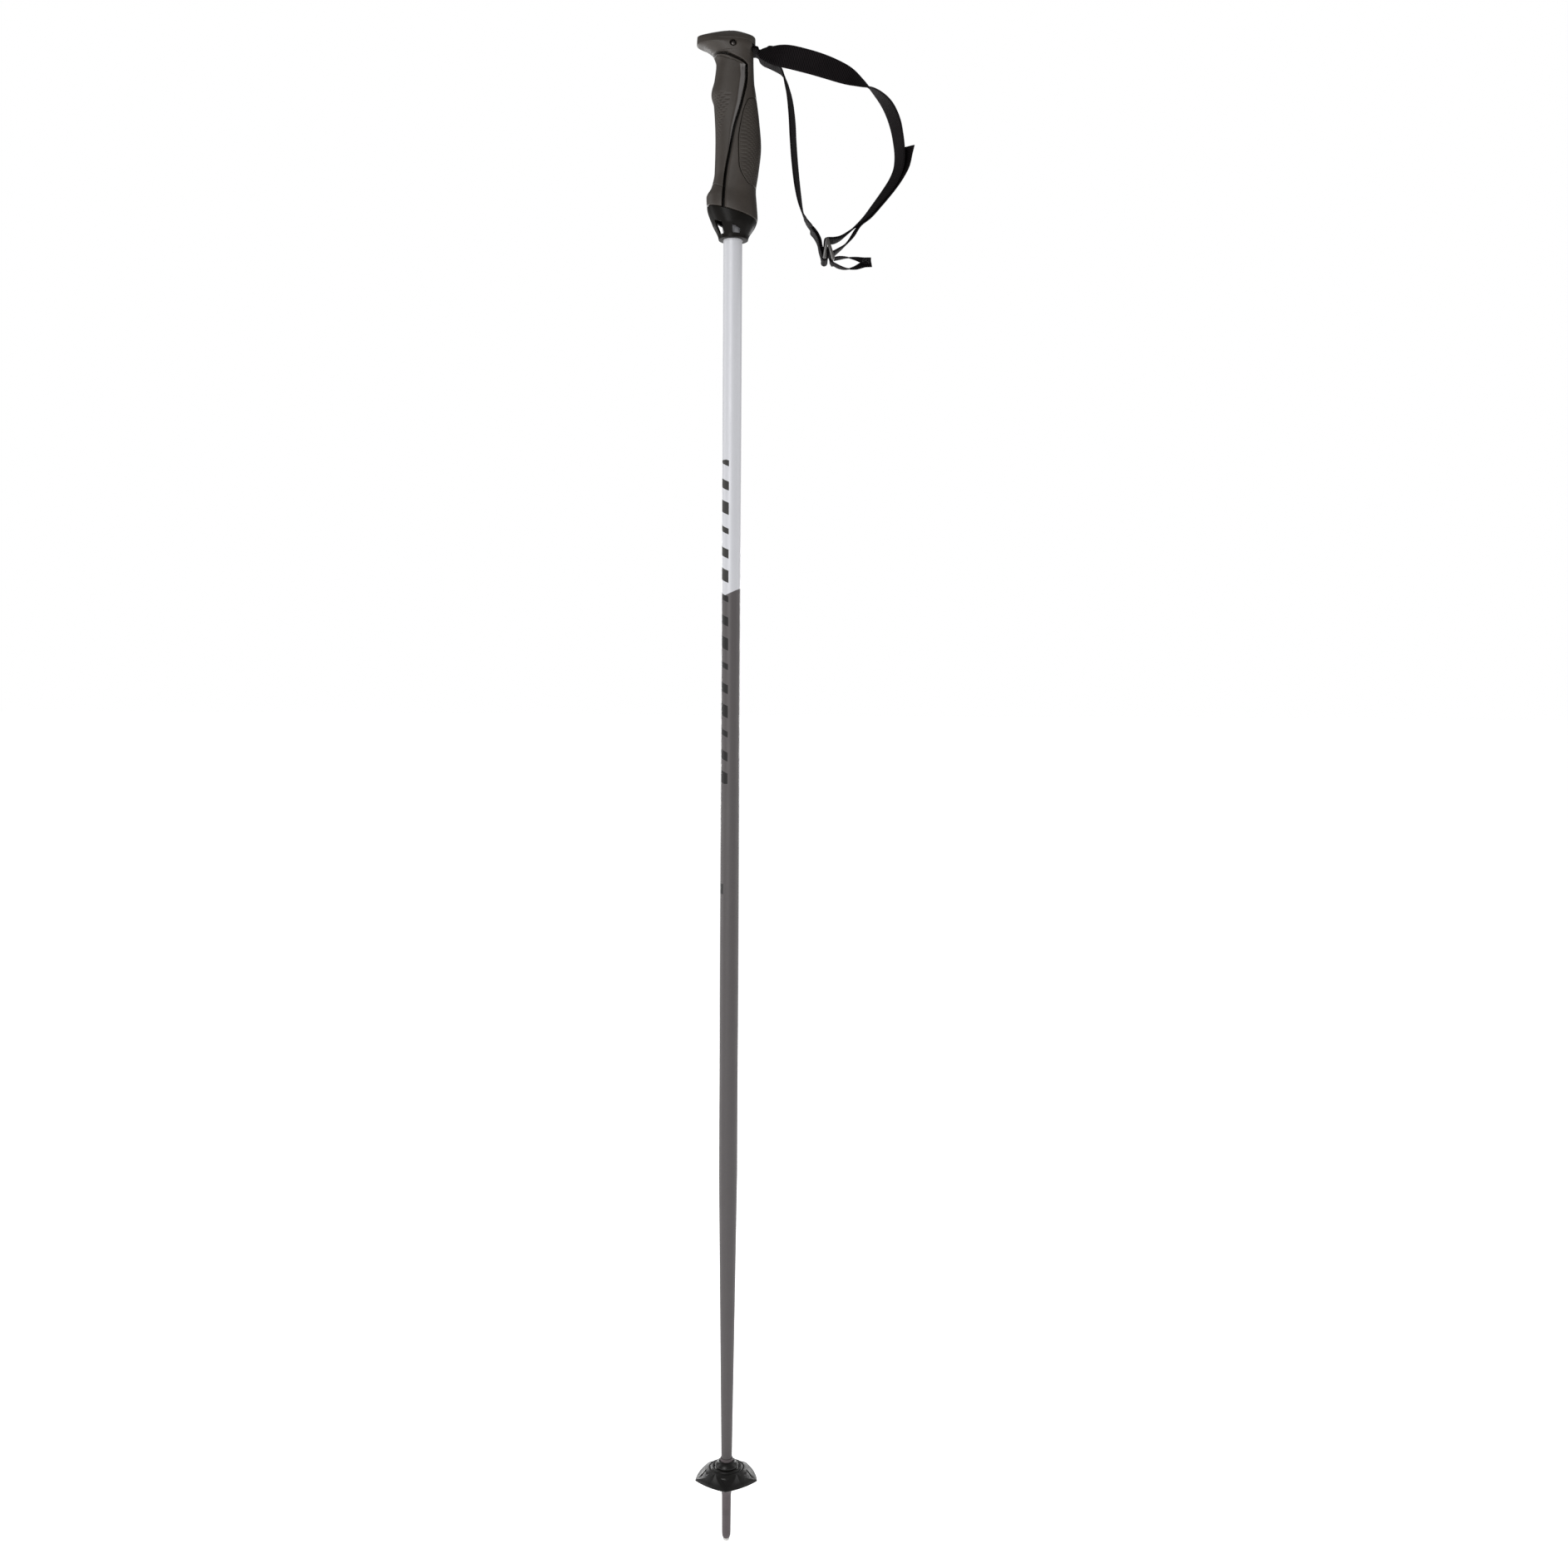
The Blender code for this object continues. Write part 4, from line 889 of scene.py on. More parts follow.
def head_relief(x, y, z, row):
    """Depth on the head: lips, the palm pad's recess, a chamfer by the groove and the top seam."""
    beside = -parting_distance(x, z) - GROOVE_WIDTH / 2
    depth = lip(beside) + lip(row - SHELL_START)
    if PAD_BOTTOM - MM < z < PAD_TOP + MM:
        inside = pad_inside(x, z)
        depth += (PAD_DEPTH + GAP) * smoothstep(inside, -0.45 * MM, 0.05 * MM)
    low = 1.0 - smoothstep(z, 1228.0 * MM, 1246.0 * MM)
    width = 2.2 * MM
    if beside < width:
        depth += 0.8 * MM * low * (1.0 - beside / width)
    seam = (z - 1288.1 * MM) + 0.076 * x
    depth += smoothstep(x, -14.0 * MM, -11.0 * MM) * channel(seam, 0.45 * MM, 0.28 * MM)
    return depth


def pad_relief(x, y, z, row):
    """Depth on the palm pad: rounded outline and fine dimples."""
    inside = pad_inside(x, z)
    depth = lip(inside - 0.1 * MM, 0.6 * MM)
    zone = smoothstep(inside, 1.0 * MM, 1.8 * MM)
    if zone > 0.0:
        depth += zone * dimple(y, z - PAD_BOTTOM, 1.9 * MM, 0.80 * MM, 0.34 * MM)
    return depth


def swept_shell(rows, edge, center_angle, relief, wall, columns, gather):
    """A closed shell over one side of the grip: rows from its two edges round to its middle and back inside.

    A row is hollow behind the wall, or solid between its edges.
    """
    bm = bmesh.new()
    rings = []
    inner_columns = 24
    for row, hollow in rows:
        start = edge_angle(row, edge)
        half = []
        for k in range(columns + 1):
            angle = start + (center_angle - start) * (k / columns)**gather
            x, y, z, section = place_on(row, angle)
            depth = relief(x, y, z, row)
            across, along = section.inward(angle)
            half.append((x + across * depth, y + along * depth, z))
        outer = half + [(x, -y, z) for x, y, z in reversed(half[:-1])]
        first, last = outer[0], outer[-1]
        if hollow:
            inner_start = edge_angle(row, edge, wall)
            inner = []
            for k in range(inner_columns + 1):
                angle = inner_start + (center_angle - inner_start) * k / inner_columns
                inner.append(place_on(row, angle, wall)[:3])
            inner = inner + [(x, -y, z) for x, y, z in reversed(inner[:-1])]
        else:
            inner = []
            for k in range(2 * inner_columns + 1):
                t = (k + 0.5) / (2 * inner_columns + 1)
                inner.append(tuple(a + (b - a) * t for a, b in zip(first, last)))
        rings.append([bm.verts.new(place) for place in outer + list(reversed(inner))])
    stitch(bm, rings, closed_path=False)
    return bm


def even_rows(start, end, pitch, hollow):
    """Rows between two heights, marked hollow or solid."""
    count = max(1, round((end - start) / pitch))
    return [(start + (end - start) * k / count, hollow) for k in range(count + 1)]


def make_grip(shell_rubber, strip_highlight_rubber, pad_rubber, core_plastic):
    """The two soft sides of the grip, the palm pad and the collar."""
    solid_from = CORE_TOP + GAP
    finger_top = 1278.8 * MM
    rows = even_rows(SHELL_START, solid_from, ROW_PITCH, True)
    rows += even_rows(solid_from, 1272.4 * MM, ROW_PITCH, False)
    rows += even_rows(1272.6 * MM, finger_top, 0.2 * MM, False)
    finger = swept_shell(rows, parting_edge(1), math.pi, finger_relief, SHELL_DEPTH, 104, 1.5)
    keep("finger_side", finger, strip_highlight_rubber, ["grip_finger_pad"], "root", 50.0)

    rows = even_rows(SHELL_START, solid_from, ROW_PITCH, True)
    rows += even_rows(solid_from, 1276.0 * MM, ROW_PITCH, False)
    rows += even_rows(1276.2 * MM, DOME_START, 0.25 * MM, False)
    dome_steps = 44
    rise = GRIP_TOP - DOME_START
    rows += [(DOME_START + rise * math.sin(0.5 * math.pi * k / dome_steps), False)
             for k in range(1, dome_steps + 1)]
    head_shell = swept_shell(rows, parting_edge(-1), 0.0, head_relief, SHELL_DEPTH, 96, 1.4)
    head = keep("head", head_shell, shell_rubber, ["grip_head"], "root", 50.0)
    cut_head(head)

    pad_rows = even_rows(PAD_BOTTOM + 0.05 * MM, PAD_TOP - 0.05 * MM, 0.4 * MM, True)
    pad = swept_shell(pad_rows, lambda z: curve_value(PAD_EDGE, z) + 0.1 * MM, 0.0, pad_relief, PAD_DEPTH,
                      72, 1.2)
    keep("palm_pad", pad, pad_rubber, ["grip_palm_pad"], "root", 60.0)
    make_collar(core_plastic)
    for node in ("grip_core", "shaft_plug"):
        give_material(node, core_plastic)


def give_material(node, material):
    """Give a carried-over CAD node its detailed material."""
    thing = bpy.data.objects[node]
    for slot in thing.material_slots:
        slot.material = material


def cut_head(head):
    """The strap's slot with softened corners, and the pin's bore with its two dished recesses."""
    recess = PIN_HEAD_RADIUS + GAP
    bore = PIN_RADIUS + GAP
    floor = PIN_HALF_LENGTH - 2.0 * MM
    far = 25.0 * MM
    half = [(0.0, -far), (recess + 9.0 * MM, -far), (recess, -PIN_HALF_LENGTH - 0.7 * MM), (recess, -floor),
            (bore, -floor)]
    profile = half + [(radius, -depth) for radius, depth in reversed(half)]
    combine(head, turned(profile, 48, (PIN_X, PIN_Z), along_y=True), "DIFFERENCE")
    loop_room = 4.6
    pin_z = PIN_Z / MM
    outline = [(loop_room * math.cos(a), pin_z + loop_room * math.sin(a))
               for a in (math.pi * (0.5 + k / 24) for k in range(25))]
    outline += [(17.2, 1279.6), (17.9, 1279.2), (19.5, 1277.6), (30.0, 1277.6), (30.0, 1287.2),
                (19.6, 1287.2), (18.2, 1285.7), (17.4, 1285.3)]
    combine(head, prism(outline, -SLOT_HALF_WIDTH, SLOT_HALF_WIDTH), "DIFFERENCE")
    smooth_faces(head, 50.0)


def collar_place(low, share, angle, inset=0.0):
    """(x, y, z) on the collar, a share of the way from a level up to its slanted upper edge."""
    z = low
    for _ in range(SLANT_ROUNDS):
        x, y = section_at(z, inset).point(angle)
        z = low + (COLLAR_LEVEL + COLLAR_SLOPE * x - low) * share
    return x, y, z


def make_collar(plastic):
    """The hollow skirt at the grip's foot with its four windows."""
    neck = TUBE_RADIUS + GAP
    count = 168
    bm = bmesh.new()
    rings = []
    for k in range(count):
        angle = 2.0 * math.pi * k / count
        profile = []
        steps = 44
        for step in range(steps + 1):
            t = step / steps
            x, y, z = collar_place(GRIP_BOTTOM + 0.5 * MM, t, angle)
            across, along = section_at(z).inward(angle)
            depth = lip((1.0 - t) * 20.0 * MM, 0.5 * MM)
            profile.append((x + across * depth, y + along * depth, z))
        for step in range(13):
            t = 1.0 - step / 12
            profile.append(collar_place(GRIP_BOTTOM + COLLAR_FLOOR, t, angle, COLLAR_WALL))
        c, s = math.cos(angle), math.sin(angle)
        profile.append((neck * c, neck * s, GRIP_BOTTOM + COLLAR_FLOOR))
        profile.append((neck * c, neck * s, GRIP_BOTTOM + 0.3 * MM))
        profile.append(((neck + 0.3 * MM) * c, (neck + 0.3 * MM) * s, GRIP_BOTTOM))
        x, y = section_at(GRIP_BOTTOM).point(angle)
        across, along = section_at(GRIP_BOTTOM).inward(angle)
        profile.append((x + across * 0.5 * MM, y + along * 0.5 * MM, GRIP_BOTTOM))
        profile.append((x + across * 0.12 * MM, y + along * 0.12 * MM, GRIP_BOTTOM + 0.15 * MM))
        rings.append([bm.verts.new(place) for place in profile])
    stitch(bm, rings, closed_path=True)
    collar = keep("collar", bm, plastic, ["grip_collar"], "root", 40.0)
    for angle, top in COLLAR_WINDOWS:
        for side in (-1, 1):
            rise = FAR_WINDOW_RISE if side > 0 else 0.0
            combine(collar, window_cutter(side * angle, top + rise), "DIFFERENCE")
    smooth_faces(collar, 40.0)


def window_cutter(angle_from_front, top):
    """A prism with rounded corners, flaring outwards, that cuts one window; its top in mm."""
    angle = math.radians(180.0 - angle_from_front)
    outward = Vector((math.cos(angle), math.sin(angle), 0.0))
    across = Vector((-outward.y, outward.x, 0.0))
    half_width, low_half, bottom = 4.0, 3.0, 1127.2
    lean = COLLAR_WINDOW_SLOPE * across.x * half_width
    corners = [(-low_half, bottom), (low_half, bottom), (half_width, top + lean), (-half_width, top - lean)]
    soft = rounded([(s * MM, z * MM) for s, z in corners], [0.9] * 4, 4)
    middle_z = (bottom + top) / 2 * MM
    bm = bmesh.new()
    rings = []
    for reach, grow in ((9.0, 1.0), (17.0, 1.0), (30.0, 1.35)):
        rings.append([bm.verts.new(outward * (reach * MM) + across * (s * grow)
                                   + Vector((0.0, 0.0, middle_z + (z - middle_z) * grow))) for s, z in soft])
    stitch(bm, rings, closed_path=False)
    return bm


# ---------------------------------------------------------------------------
# Wrist strap
# ---------------------------------------------------------------------------

RIB_STEPS = 4                       # stations per rib of the webbing
RIB_HEIGHT = 0.10 * MM
SELVEDGE_START = 0.9                # share of the half width where the edge begins to thin
SELVEDGE_THICKNESS = 0.16           # share of the thickness left at the very edge
END_SQUEEZE = 0.35                  # share of the thickness lost at a cut end
END_LENGTH = 1.2 * MM
BACK_RIB_SHIFT = 0.9                # radians between the ribs of the two faces
THREAD_RADIUS = 0.24 * MM
THREAD_SINK = 0.02 * MM             # how deep a stitch starts in the band


def smooth_route(points, pitch):
    """Points every pitch along a smooth curve through (x, z, turn, y) stations."""
    route = []
    for k in range(len(points) - 1):
        p0, p1 = points[max(k - 1, 0)], points[k]
        p2, p3 = points[k + 1], points[min(k + 2, len(points) - 1)]
        gap = math.dist(p1[:2], p2[:2])
        before = max(math.dist(p0[:2], p1[:2]), 0.001)
        after = max(math.dist(p2[:2], p3[:2]), 0.001)
        count = max(1, round(gap / (pitch / MM)))
        for step in range(count):
            t = step / count
            place = []
            for a, b, c, d in zip(p0, p1, p2, p3):
                leave = ((b - a) / before + (c - b) / gap) * gap / 2 if k > 0 else c - b
                arrive = ((c - b) / gap + (d - c) / after) * gap / 2 if k < len(points) - 2 else c - b
                place.append(b * (2 * t**3 - 3 * t**2 + 1) + leave * (t**3 - 2 * t**2 + t)
                             + c * (3 * t**2 - 2 * t**3) + arrive * (t**3 - t**2))
            route.append(tuple(place))
    route.append(tuple(points[-1]))
    return route


def near_edge_straight(stations):
    """Add y to (x, z, turn) stations so that the band's edge on the -Y side stays in one plane."""
    half = WEB_WIDTH / MM / 2
    return [(x, z, turn, -half * (1.0 - math.cos(math.radians(turn)))) for x, z, turn in stations]


def beside(route, pitch):
    """A route moved sideways in its plane by pitch (positive to the left of its direction)."""
    moved = []
    for k, (x, z, turn, y) in enumerate(route):
        before, after = route[max(k - 1, 0)], route[min(k + 1, len(route) - 1)]
        run, rise = after[0] - before[0], after[1] - before[1]
        length = math.hypot(run, rise)
        shift = pitch / MM
        moved.append((x - shift * rise / length, z + shift * run / length, turn, y))
    return moved


def arc(center, radius, start, end, steps):
    """(x, z, turn, y) stations along an arc, angles in degrees from +X towards +Z."""
    points = []
    for k in range(steps + 1):
        angle = math.radians(start + (end - start) * k / steps)
        points.append((center[0] + radius / MM * math.cos(angle),
                       center[1] + radius / MM * math.sin(angle), 0, 0))
    return points


def band_frames(route):
    """Middle, width direction, face direction and distance run at each point of a route."""
    frames = []
    run = 0.0
    for k, (x, z, turn, y) in enumerate(route):
        before, after = route[max(k - 1, 0)], route[min(k + 1, len(route) - 1)]
        tangent = Vector((after[0] - before[0], 0.0, after[1] - before[1])).normalized()
        upward = Vector((-tangent.z, 0.0, tangent.x))
        angle = math.radians(turn)
        across = Vector((0.0, math.cos(angle), 0.0)) + upward * math.sin(angle)
        middle = Vector((x, y, z)) * MM
        if frames:
            run += (middle - frames[-1][0]).length
        frames.append((middle, across, across.cross(tangent), run))
    return frames


def webbing(name, stations, width, thickness, material, columns=16):
    """A woven band along stations: ribs across it, rounded selvedges, and its weave in a UV map."""
    route = smooth_route(stations, WEB_RIB / RIB_STEPS)
    frames = band_frames(route)
    bm = bmesh.new()
    plan = []
    rings = []
    for k, (middle, across, face, run) in enumerate(frames):
        ring, uvs = [], []
        ends = min(run, frames[-1][3] - run)
        squeeze = 1.0 - END_SQUEEZE * (1.0 - smoothstep(ends, 0.0, END_LENGTH))
        for side in (1, -1):
            for c in range(columns + 1):
                share = side * (2.0 * c / columns - 1.0)
                edge = abs(share)
                thinning = max(0.0, (edge - SELVEDGE_START) / (1.0 - SELVEDGE_START))
                selvedge = math.sqrt(max(1.0 - thinning**2, 0.0))
                rib = math.cos(2.0 * math.pi * run / WEB_RIB + (BACK_RIB_SHIFT if side < 0 else 0.0))
                fullness = SELVEDGE_THICKNESS + (1.0 - SELVEDGE_THICKNESS) * selvedge
                height = thickness / 2 * fullness * squeeze
                height += RIB_HEIGHT * (0.5 * rib - 0.5) * (1.0 - 0.6 * (edge > 0.93))
                ring.append(bm.verts.new(middle + across * (share * width / 2) + face * (side * height)))
                uvs.append((run, share * width / 2 + (0.1 if side < 0 else 0.0)))
        rings.append(ring)
        plan.append(uvs)
    stitch(bm, rings, closed_path=False)
    uv_layer = bm.loops.layers.uv.new("band")
    bm.verts.index_update()
    count = len(rings[0])
    for bm_face in bm.faces:
        for loop in bm_face.loops:
            k, i = divmod(loop.vert.index, count)
            loop[uv_layer].uv = plan[k][i]
    bmesh.ops.recalc_face_normals(bm, faces=bm.faces)
    thing = add_object(name, bm)
    smooth_faces(thing, 50.0)
    thing.data.materials.append(material)
    return thing, frames


def thread_rows(name, frames, rows, thickness, material):
    """Lock stitches on both faces of a band; each row is (start, end, across at start and end, pitch)."""
    bm = bmesh.new()
    for start, end, across_start, across_end, pitch in rows:
        length = math.hypot(end - start, across_end - across_start)
        count = max(1, round(length / pitch))
        for step in range(count):
            for side in (1, -1):
                ends = []
                for t in ((step + 0.12) / count, (step + 0.88) / count):
                    run = start + (end - start) * t
                    frame_at = min(frames, key=lambda item: abs(item[3] - run))
                    middle, across, face, _ = frame_at
                    place = middle + across * (across_start + (across_end - across_start) * t)
                    ends.append((place + face * (side * (thickness / 2 - THREAD_SINK)), face * side))
                add_stitch(bm, ends, THREAD_RADIUS)
    return keep(name, bm, material, sharp=60.0)


def add_stitch(bm, ends, radius):
    """One raised stitch between two points on a face, dipping at both ends."""
    (first, out), (last, _) = ends
    along = (last - first).normalized()
    side = along.cross(out).normalized()
    rings = []
    for t, size, lift in ((0.0, 0.35, -0.6), (0.12, 0.8, 0.1), (0.35, 1.0, 0.45), (0.65, 1.0, 0.45),
                          (0.88, 0.8, 0.1), (1.0, 0.35, -0.6)):
        middle = first.lerp(last, t) + out * (radius * lift)
        rings.append([bm.verts.new(middle + side * (math.cos(a) * radius * size)
                                   + out * (math.sin(a) * radius * size))
                      for a in (math.pi * k / 4 for k in range(8))])
    stitch(bm, rings, closed_path=False)


SLOT_MOUTH = STRAP_HINGE[0] - 1.9   # x where the strands leave the loop round the pin, in mm
TACK_HALF = 7.5 * MM                # half width of the sewn patch on the short side
TACK_PITCH = 2.5 * MM


def make_pin_loop(fabric):
    """The stretch of webbing that goes round the pin inside the head."""
    stations = [(SLOT_MOUTH, 1283.3, 0, 0), (12.0, 1284.2, 0, 0)]
    stations += arc((0.0, PIN_Z / MM), PIN_RADIUS + GAP + WEB_THICKNESS / 2, 78, 276, 12)
    stations += [(12.0, 1281.4, 0, 0), (SLOT_MOUTH, 1281.35, 0, 0)]
    band, _ = webbing("strap_loop", stations, WEB_WIDTH, WEB_THICKNESS, fabric)
    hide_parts("strap_anchor")
    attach(band, "root")


def make_long_side(fabric):
    """The long strand: from the slot to the slider, through it, and its tail back up."""
    strand = near_edge_straight(LONG_SIDE)
    run = [station for station in strand if 1137.0 < station[1] < 1200.0 and station[0] > 104.0]
    along_strand = []
    for x, z, turn, y in reversed(beside(run, LAYER_PITCH)):
        freed = smoothstep(z, TAIL_FREE_FROM, TAIL_END[1])
        along_strand.append((x + TAIL_SPREAD * freed, z, -turn + TAIL_TWIST * freed, y))
    tail = near_edge_straight(TAIL) + along_strand + near_edge_straight([TAIL_END])
    stations = [(SLOT_MOUTH, 1283.3, 0, 0)] + strand + near_edge_straight(SLIDER_WRAP) + tail
    band, frames = webbing("strap_main", stations, WEB_WIDTH, WEB_THICKNESS, fabric)
    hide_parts("strap_long_side")
    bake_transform(band)


def make_short_side(fabric, thread):
    """The short strand, with the sewn patch above the fold."""
    stations = [(SLOT_MOUTH, 1281.35, 0, 0)] + SHORT_SIDE
    band, frames = webbing("strap_return", stations, WEB_WIDTH, WEB_THICKNESS, fabric)
    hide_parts("strap_short_side")
    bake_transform(band)
    end = frames[-1][3]
    first, last = end - 11.0 * MM, end - 4.0 * MM
    rows = [(run, run, -TACK_HALF, TACK_HALF, 2.2 * MM) for run in (first, last)]
    for k in range(6):
        low, high = -TACK_HALF + k * TACK_PITCH, -TACK_HALF + (k + 1) * TACK_PITCH
        rows.append((first, last, low, high, 2.4 * MM))
    stitches = thread_rows("bar_tack", frames, rows, WEB_THICKNESS, thread)
    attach(stitches, "strap")


def make_fold(fabric):
    """The end of the short strand, folded round the slider's bar."""
    returning = beside(FOLD_MAIN, -LAYER_PITCH)
    wrap = BAR_RADIUS + GAP + WEB_THICKNESS / 2
    stations = FOLD_MAIN + arc(FOLD_BAR, wrap, 20, -200, 10) + list(reversed(returning[:-1]))
    band, frames = webbing("strap_bight", stations, WEB_WIDTH, WEB_THICKNESS, fabric)
    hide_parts("strap_fold")
    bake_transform(band)


def make_webbing(fabric, thread):
    """The strap in its four pieces."""
    make_pin_loop(fabric)
    make_long_side(fabric)
    make_short_side(fabric, thread)
    make_fold(fabric)


def make_pin(steel):
    """The cross pin with its domed heads, one of them on the screwed cap."""
    center = (PIN_X, PIN_Z)
    bore = 1.3 * MM
    face = PIN_HALF_LENGTH - 1.8 * MM
    end = -PIN_HALF_LENGTH
    dome = [(0.0, end), (0.8 * MM, end + 0.05 * MM), (1.5 * MM, end + 0.22 * MM), (2.1 * MM, end + 0.6 * MM),
            (2.4 * MM, end + 1.0 * MM), (PIN_HEAD_RADIUS, end + 1.3 * MM)]
    body = [(PIN_HEAD_RADIUS, -face), (PIN_RADIUS, -face), (PIN_RADIUS, face - 0.6 * MM),
            (bore, face - 0.6 * MM), (bore, 6.0 * MM), (0.0, 6.0 * MM)]
    keep("pin", turned(dome + body, 48, center, along_y=True), steel, ["strap_pin"], "root")
    stem = bore - 0.2 * MM
    cap = [(0.0, 6.5 * MM), (stem, 6.5 * MM), (stem, face), (PIN_HEAD_RADIUS, face)]
    cap += [(radius, -depth) for radius, depth in reversed(dome)]
    keep("pin_cap", turned(cap, 48, center, along_y=True), steel, ["strap_pin_cap"], "root")


def make_slider(plastic):
    """The ladder slider: two rounded cheeks joined by three bars."""
    cheek = 1.625                   # how far a cheek reaches past a bar's middle, in mm
    side = []
    for (x, z), angles in ((TOP_BAR, (170, 130, 90, 50, 10)), (LEVER_BAR, (10, -30, -70, -110, -150)),
                           (FOLD_BAR, (-10, -50, -90, -130, -170))):
        for angle in angles:
            turn = math.radians(angle)
            side.append((x + cheek * math.cos(turn), z + cheek * math.sin(turn)))
    lever_side = (TOP_BAR[0] + LEVER_BAR[0]) / 2 - 0.8
    fold_side = (TOP_BAR[0] + FOLD_BAR[0]) / 2 + 0.6
    crotch = [(lever_side, 1113.0), (TOP_BAR[0] + 0.1, 1118.6), (fold_side, 1113.0)]
    outline = side[:10] + crotch + side[10:]
    inner, outer = SLIDER_INNER_HALF, SLIDER_INNER_HALF + SLIDER_SIDE
    bm = bmesh.new()
    for sign in (-1, 1):
        rings = []
        for depth, shrink in ((inner, 0.45), (inner + 0.12 * MM, 0.15), (inner + 0.45 * MM, 0.0),
                              (outer - 0.55 * MM, 0.0), (outer - 0.16 * MM, 0.2), (outer, 0.6)):
            rings.append([bm.verts.new((x * MM, sign * depth, z * MM))
                          for x, z in shrunk(outline, shrink)])
        if sign < 0:
            rings.reverse()
        stitch(bm, rings, closed_path=False)
    thing = keep("slider_frame", bm, plastic, ["strap_slider"], "slider", 40.0)
    reach = SLIDER_INNER_HALF + SLIDER_SIDE / 2
    bars = bmesh.new()
    corners = 32
    around = [2.0 * math.pi * k / corners for k in range(corners)]
    circle = [(BAR_RADIUS * math.cos(angle), BAR_RADIUS * math.sin(angle)) for angle in around]
    for x, z in (TOP_BAR, FOLD_BAR, LEVER_BAR):
        rings = []
        for depth in (-reach, -reach * 0.9, 0.0, reach * 0.9, reach):
            rings.append([bars.verts.new((x * MM + right, depth, z * MM + up)) for right, up in circle])
        stitch(bars, rings, closed_path=False)
    combine(thing, bars, "UNION")
    smooth_faces(thing, 40.0)


def shrunk(outline, amount):
    """A counter-clockwise or clockwise outline drawn in by an amount, in its own unit."""
    area = sum(a[0] * b[1] - b[0] * a[1] for a, b in zip(outline, outline[1:] + outline[:1]))
    turn = 1.0 if area > 0.0 else -1.0
    moved = []
    for k, (x, z) in enumerate(outline):
        before, after = outline[k - 1], outline[(k + 1) % len(outline)]
        run, rise = after[0] - before[0], after[1] - before[1]
        length = math.hypot(run, rise) or 1.0
        moved.append((x - turn * amount * rise / length, z + turn * amount * run / length))
    return moved


def make_pull_tab(fabric, thread):
    """The narrow loop on the lever bar, its two ends sewn flat together."""
    wrap = BAR_RADIUS + GAP + TAB_THICKNESS / 2
    upper = [(117.6, 1107.6, -48, 0), (112.0, 1107.9, -44, 0), (104.0, 1109.6, -28, 0),
             (96.0, 1110.4, -10, 0), (90.0, 1109.9, 0, 0)]
    lower = [(90.0, 1102.6, 0, 0), (96.5, 1100.9, 10, 0), (104.0, 1101.7, 28, 0), (112.4, 1105.0, 44, 0),
             (118.0, 1105.6, 48, 0)]
    loop = upper + arc(LEVER_BAR, wrap, 75, 265, 10) + lower
    band, frames = webbing("tab_loop", loop, TAB_WIDTH, TAB_THICKNESS, fabric, 12)
    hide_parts("pull_tab")
    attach(band, "tab")
    first, last, edge, pitch = 2.0 * MM, 7.0 * MM, 4.0 * MM, 2.0 * MM
    rows = [(first, first, -edge, edge, pitch), (last, last, -edge, edge, pitch),
            (first, last, -edge, edge, pitch), (first, last, edge, -edge, pitch)]
    stitches = thread_rows("tab_stitches", frames, rows, TAB_THICKNESS, thread)
    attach(stitches, "tab")


# ---------------------------------------------------------------------------
# Studio
# ---------------------------------------------------------------------------

CAMERA_PLACE = Vector((0.0459, -1.34, 0.74))
CAMERA_PITCH = -1.9569              # degrees
CAMERA_ROLL = -0.3608
CAMERA_LENS = 35.8193
CAMERA_SHIFT = -0.024
AMBIENT_LIGHT = 0.26                # the room as the object sees it
BACKDROP_WHITE = 1.0                # the room as the camera sees it
FLOOR_GLOW = 0.80                   # the floor is a light table
FLOOR_HALF = 60.0
FLOOR_DROP = 0.5 * MM               # the floor lies this far below the tip


def make_camera():
    """The photograph's view of the pole."""
    data = bpy.data.cameras.new("camera")
    data.lens = CAMERA_LENS
    data.sensor_width = 36.0
    data.shift_y = CAMERA_SHIFT
    data.clip_start = 0.01
    data.clip_end = 50.0
    camera = bpy.data.objects.new("camera", data)
    camera.location = CAMERA_PLACE
    camera.rotation_euler = (math.radians(90.0 + CAMERA_PITCH), math.radians(CAMERA_ROLL), 0.0)
    bpy.context.scene.collection.objects.link(camera)
    bpy.context.scene.camera = camera


def soft_light(name, place, target, size, power):
    """A large area light aimed at a point."""
    data = bpy.data.lights.new(name, "AREA")
    data.shape = "RECTANGLE"
    data.size, data.size_y = size
    data.energy = power
    light = bpy.data.objects.new(name, data)
    light.location = place
    light.rotation_euler = (Vector(target) - Vector(place)).to_track_quat("-Z", "Y").to_euler()
    bpy.context.scene.collection.objects.link(light)


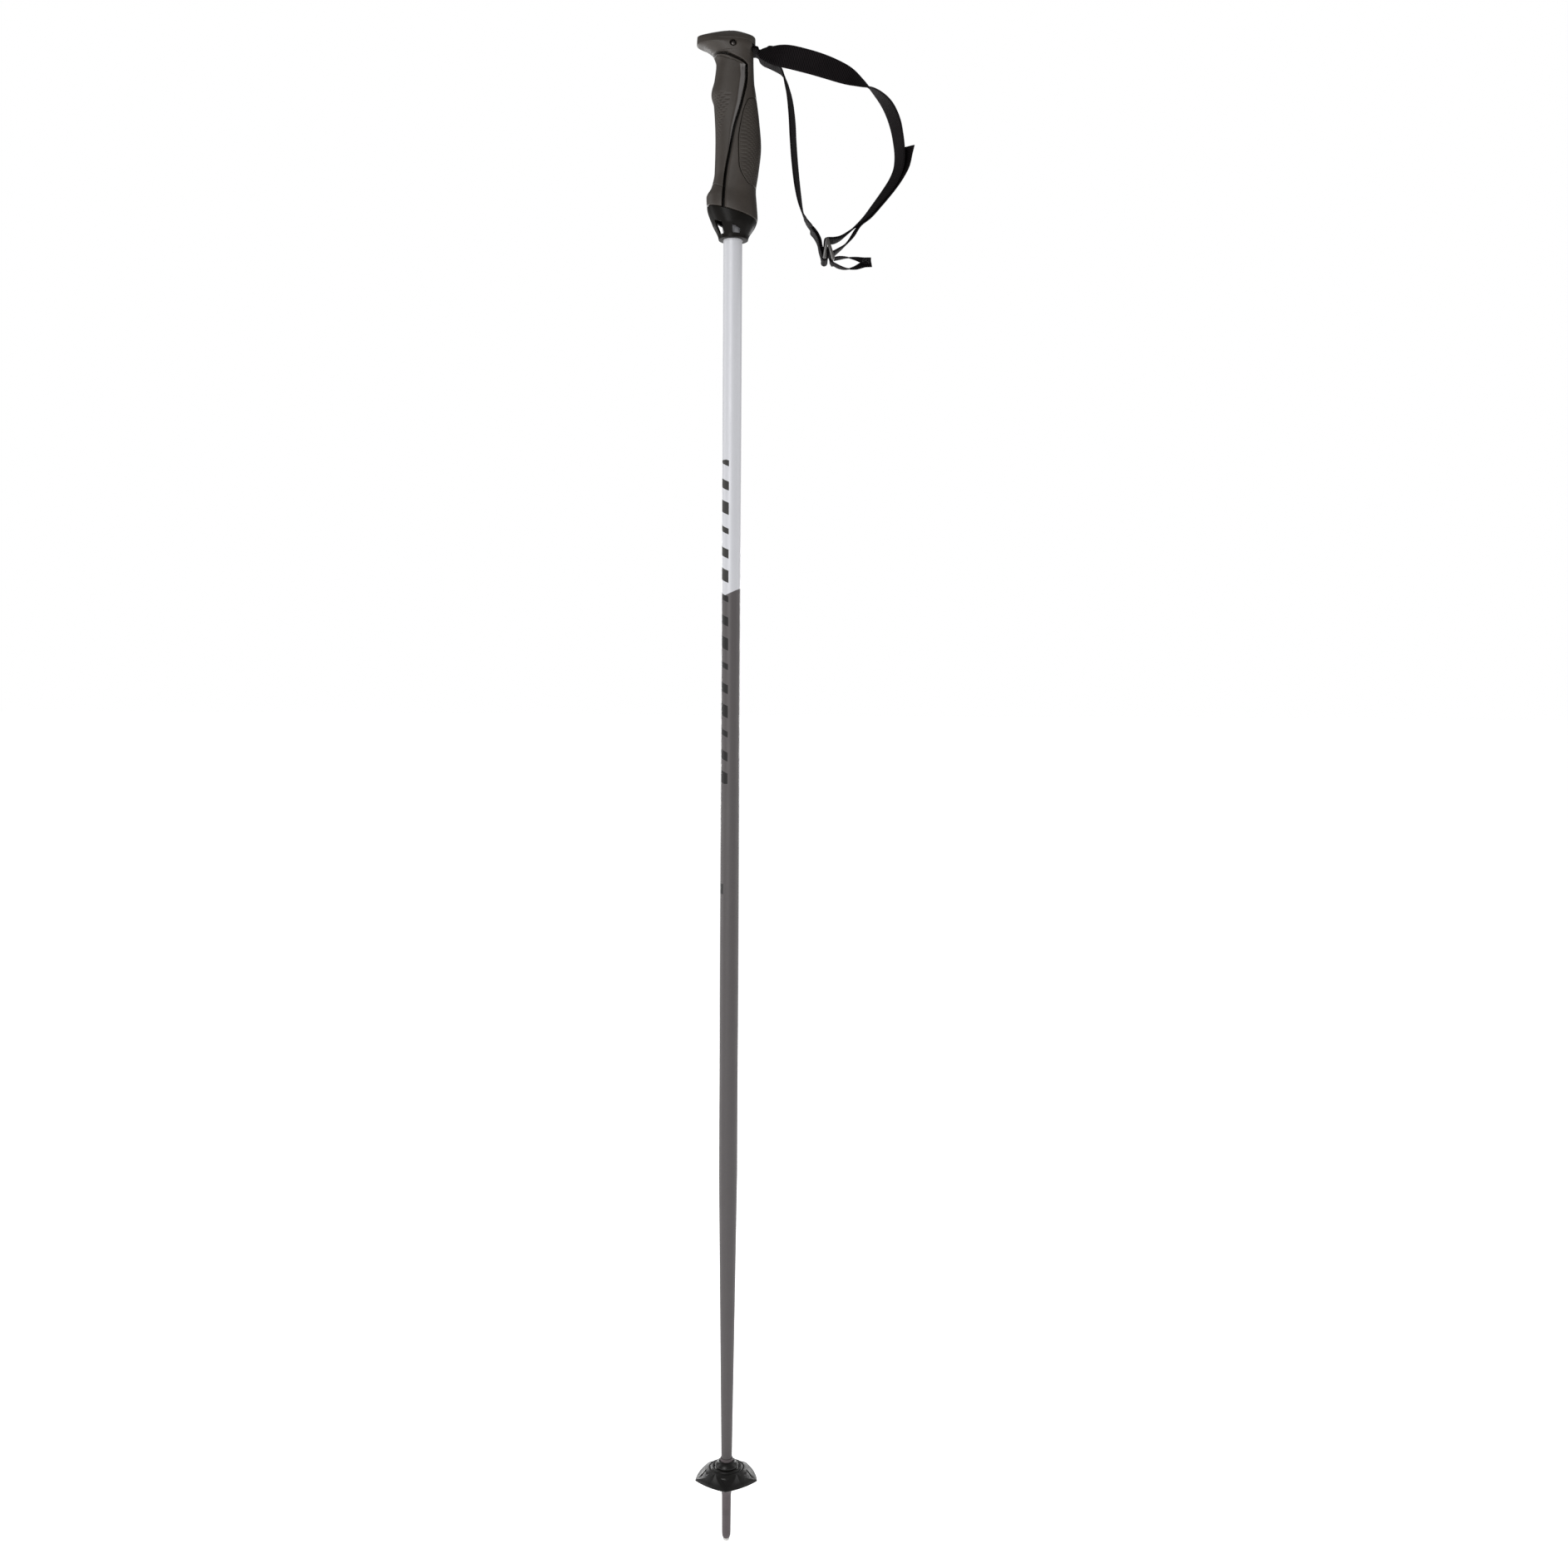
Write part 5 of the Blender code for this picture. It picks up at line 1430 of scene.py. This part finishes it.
def make_studio():
    """Pale floor and surroundings, with tall soft boxes on both sides."""
    world = bpy.data.worlds.new("studio")
    world.use_nodes = True
    nodes, links = world.node_tree.nodes, world.node_tree.links
    background = nodes["Background"]
    background.inputs["Color"].default_value = (1.0, 1.0, 1.0, 1.0)
    rays = nodes.new("ShaderNodeLightPath")
    strength = nodes.new("ShaderNodeMapRange")
    strength.inputs["To Min"].default_value = AMBIENT_LIGHT
    strength.inputs["To Max"].default_value = BACKDROP_WHITE
    links.new(rays.outputs["Is Camera Ray"], strength.inputs["Value"])
    links.new(strength.outputs[0], background.inputs["Strength"])
    bpy.context.scene.world = world
    bpy.context.scene.view_settings.view_transform = "Standard"
    bm = bmesh.new()
    bmesh.ops.create_grid(bm, x_segments=2, y_segments=2, size=FLOOR_HALF)
    floor = add_object("floor", bm)
    floor.data.materials.append(studio_floor())
    floor.location = (0.0, 0.0, -FLOOR_DROP)
    soft_light("left_box", (-1.5, 0.2, 0.95), (0.0, 0.0, 0.7), (0.5, 1.9), 6.0)
    soft_light("right_box", (1.5, 0.2, 0.95), (0.0, 0.0, 0.7), (0.5, 1.9), 5.0)
    soft_light("left_back_box", (-0.9, 1.7, 0.75), (0.0, 0.0, 0.1), (0.6, 0.5), 12.0)
    soft_light("right_back_box", (0.9, 1.7, 0.75), (0.0, 0.0, 0.1), (0.6, 0.5), 9.0)
    soft_light("front_box", (-0.9, -2.2, 1.3), (0.0, 0.0, 0.8), (1.0, 1.6), 25.0)


def make_materials():
    """The materials that more than one piece shares."""
    plastic = moulded_plastic
    return {
        "ferrule": plastic("ferrule_plastic", (0.072, 0.059, 0.063), (0.100, 0.083, 0.088), 0.46, 0.58,
                           0.5 * MM, 0.00002, 0.35),
        "basket": plastic("basket_plastic", (0.0060, 0.0057, 0.0052), (0.010, 0.0095, 0.0087), 0.28, 0.38,
                          0.35 * MM, 0.000006, 0.34),
        "core": plastic("collar_plastic", (0.0040, 0.0036, 0.0031), (0.008, 0.0073, 0.0066), 0.24, 0.36,
                        0.45 * MM, 0.000008, 0.07),
        "shell": plastic("shell_rubber", SHELL_DARK, SHELL_LIGHT, 0.40, 0.52, 0.30 * MM, 0.00003, 0.35),
        "finger": finger_rubber_painted_highlight(),
        "pad": plastic("pad_rubber", (0.027, 0.0220, 0.0180), (0.038, 0.0315, 0.0260), 0.46, 0.58,
                       0.26 * MM, 0.00004, 0.35),
        "buckle": plastic("buckle_plastic", (0.040, 0.037, 0.035), (0.070, 0.066, 0.062), 0.20, 0.30,
                          0.4 * MM, 0.00001, 0.6),
        "steel": ground_steel("tip_steel", (0.56, 0.55, 0.54)),
        "dark_steel": ground_steel("pin_steel", (0.075, 0.068, 0.064)),
        "fabric": webbing_weave("webbing", (0.0010, 0.0008, 0.0010), (0.0200, 0.0160, 0.0178)),
        "thread": sewing_thread(),
    }


def main():
    """Build the studio and every piece of the pole."""
    made = make_materials()
    make_camera()
    make_studio()
    make_tube()
    make_ferrule(made["ferrule"])
    make_tip(made["steel"])
    make_basket(made["basket"])
    make_grip(made["shell"], made["finger"], made["pad"], made["core"])
    make_pin(made["dark_steel"])
    make_slider(made["buckle"])
    make_webbing(made["fabric"], made["thread"])
    make_pull_tab(made["fabric"], made["thread"])


main()
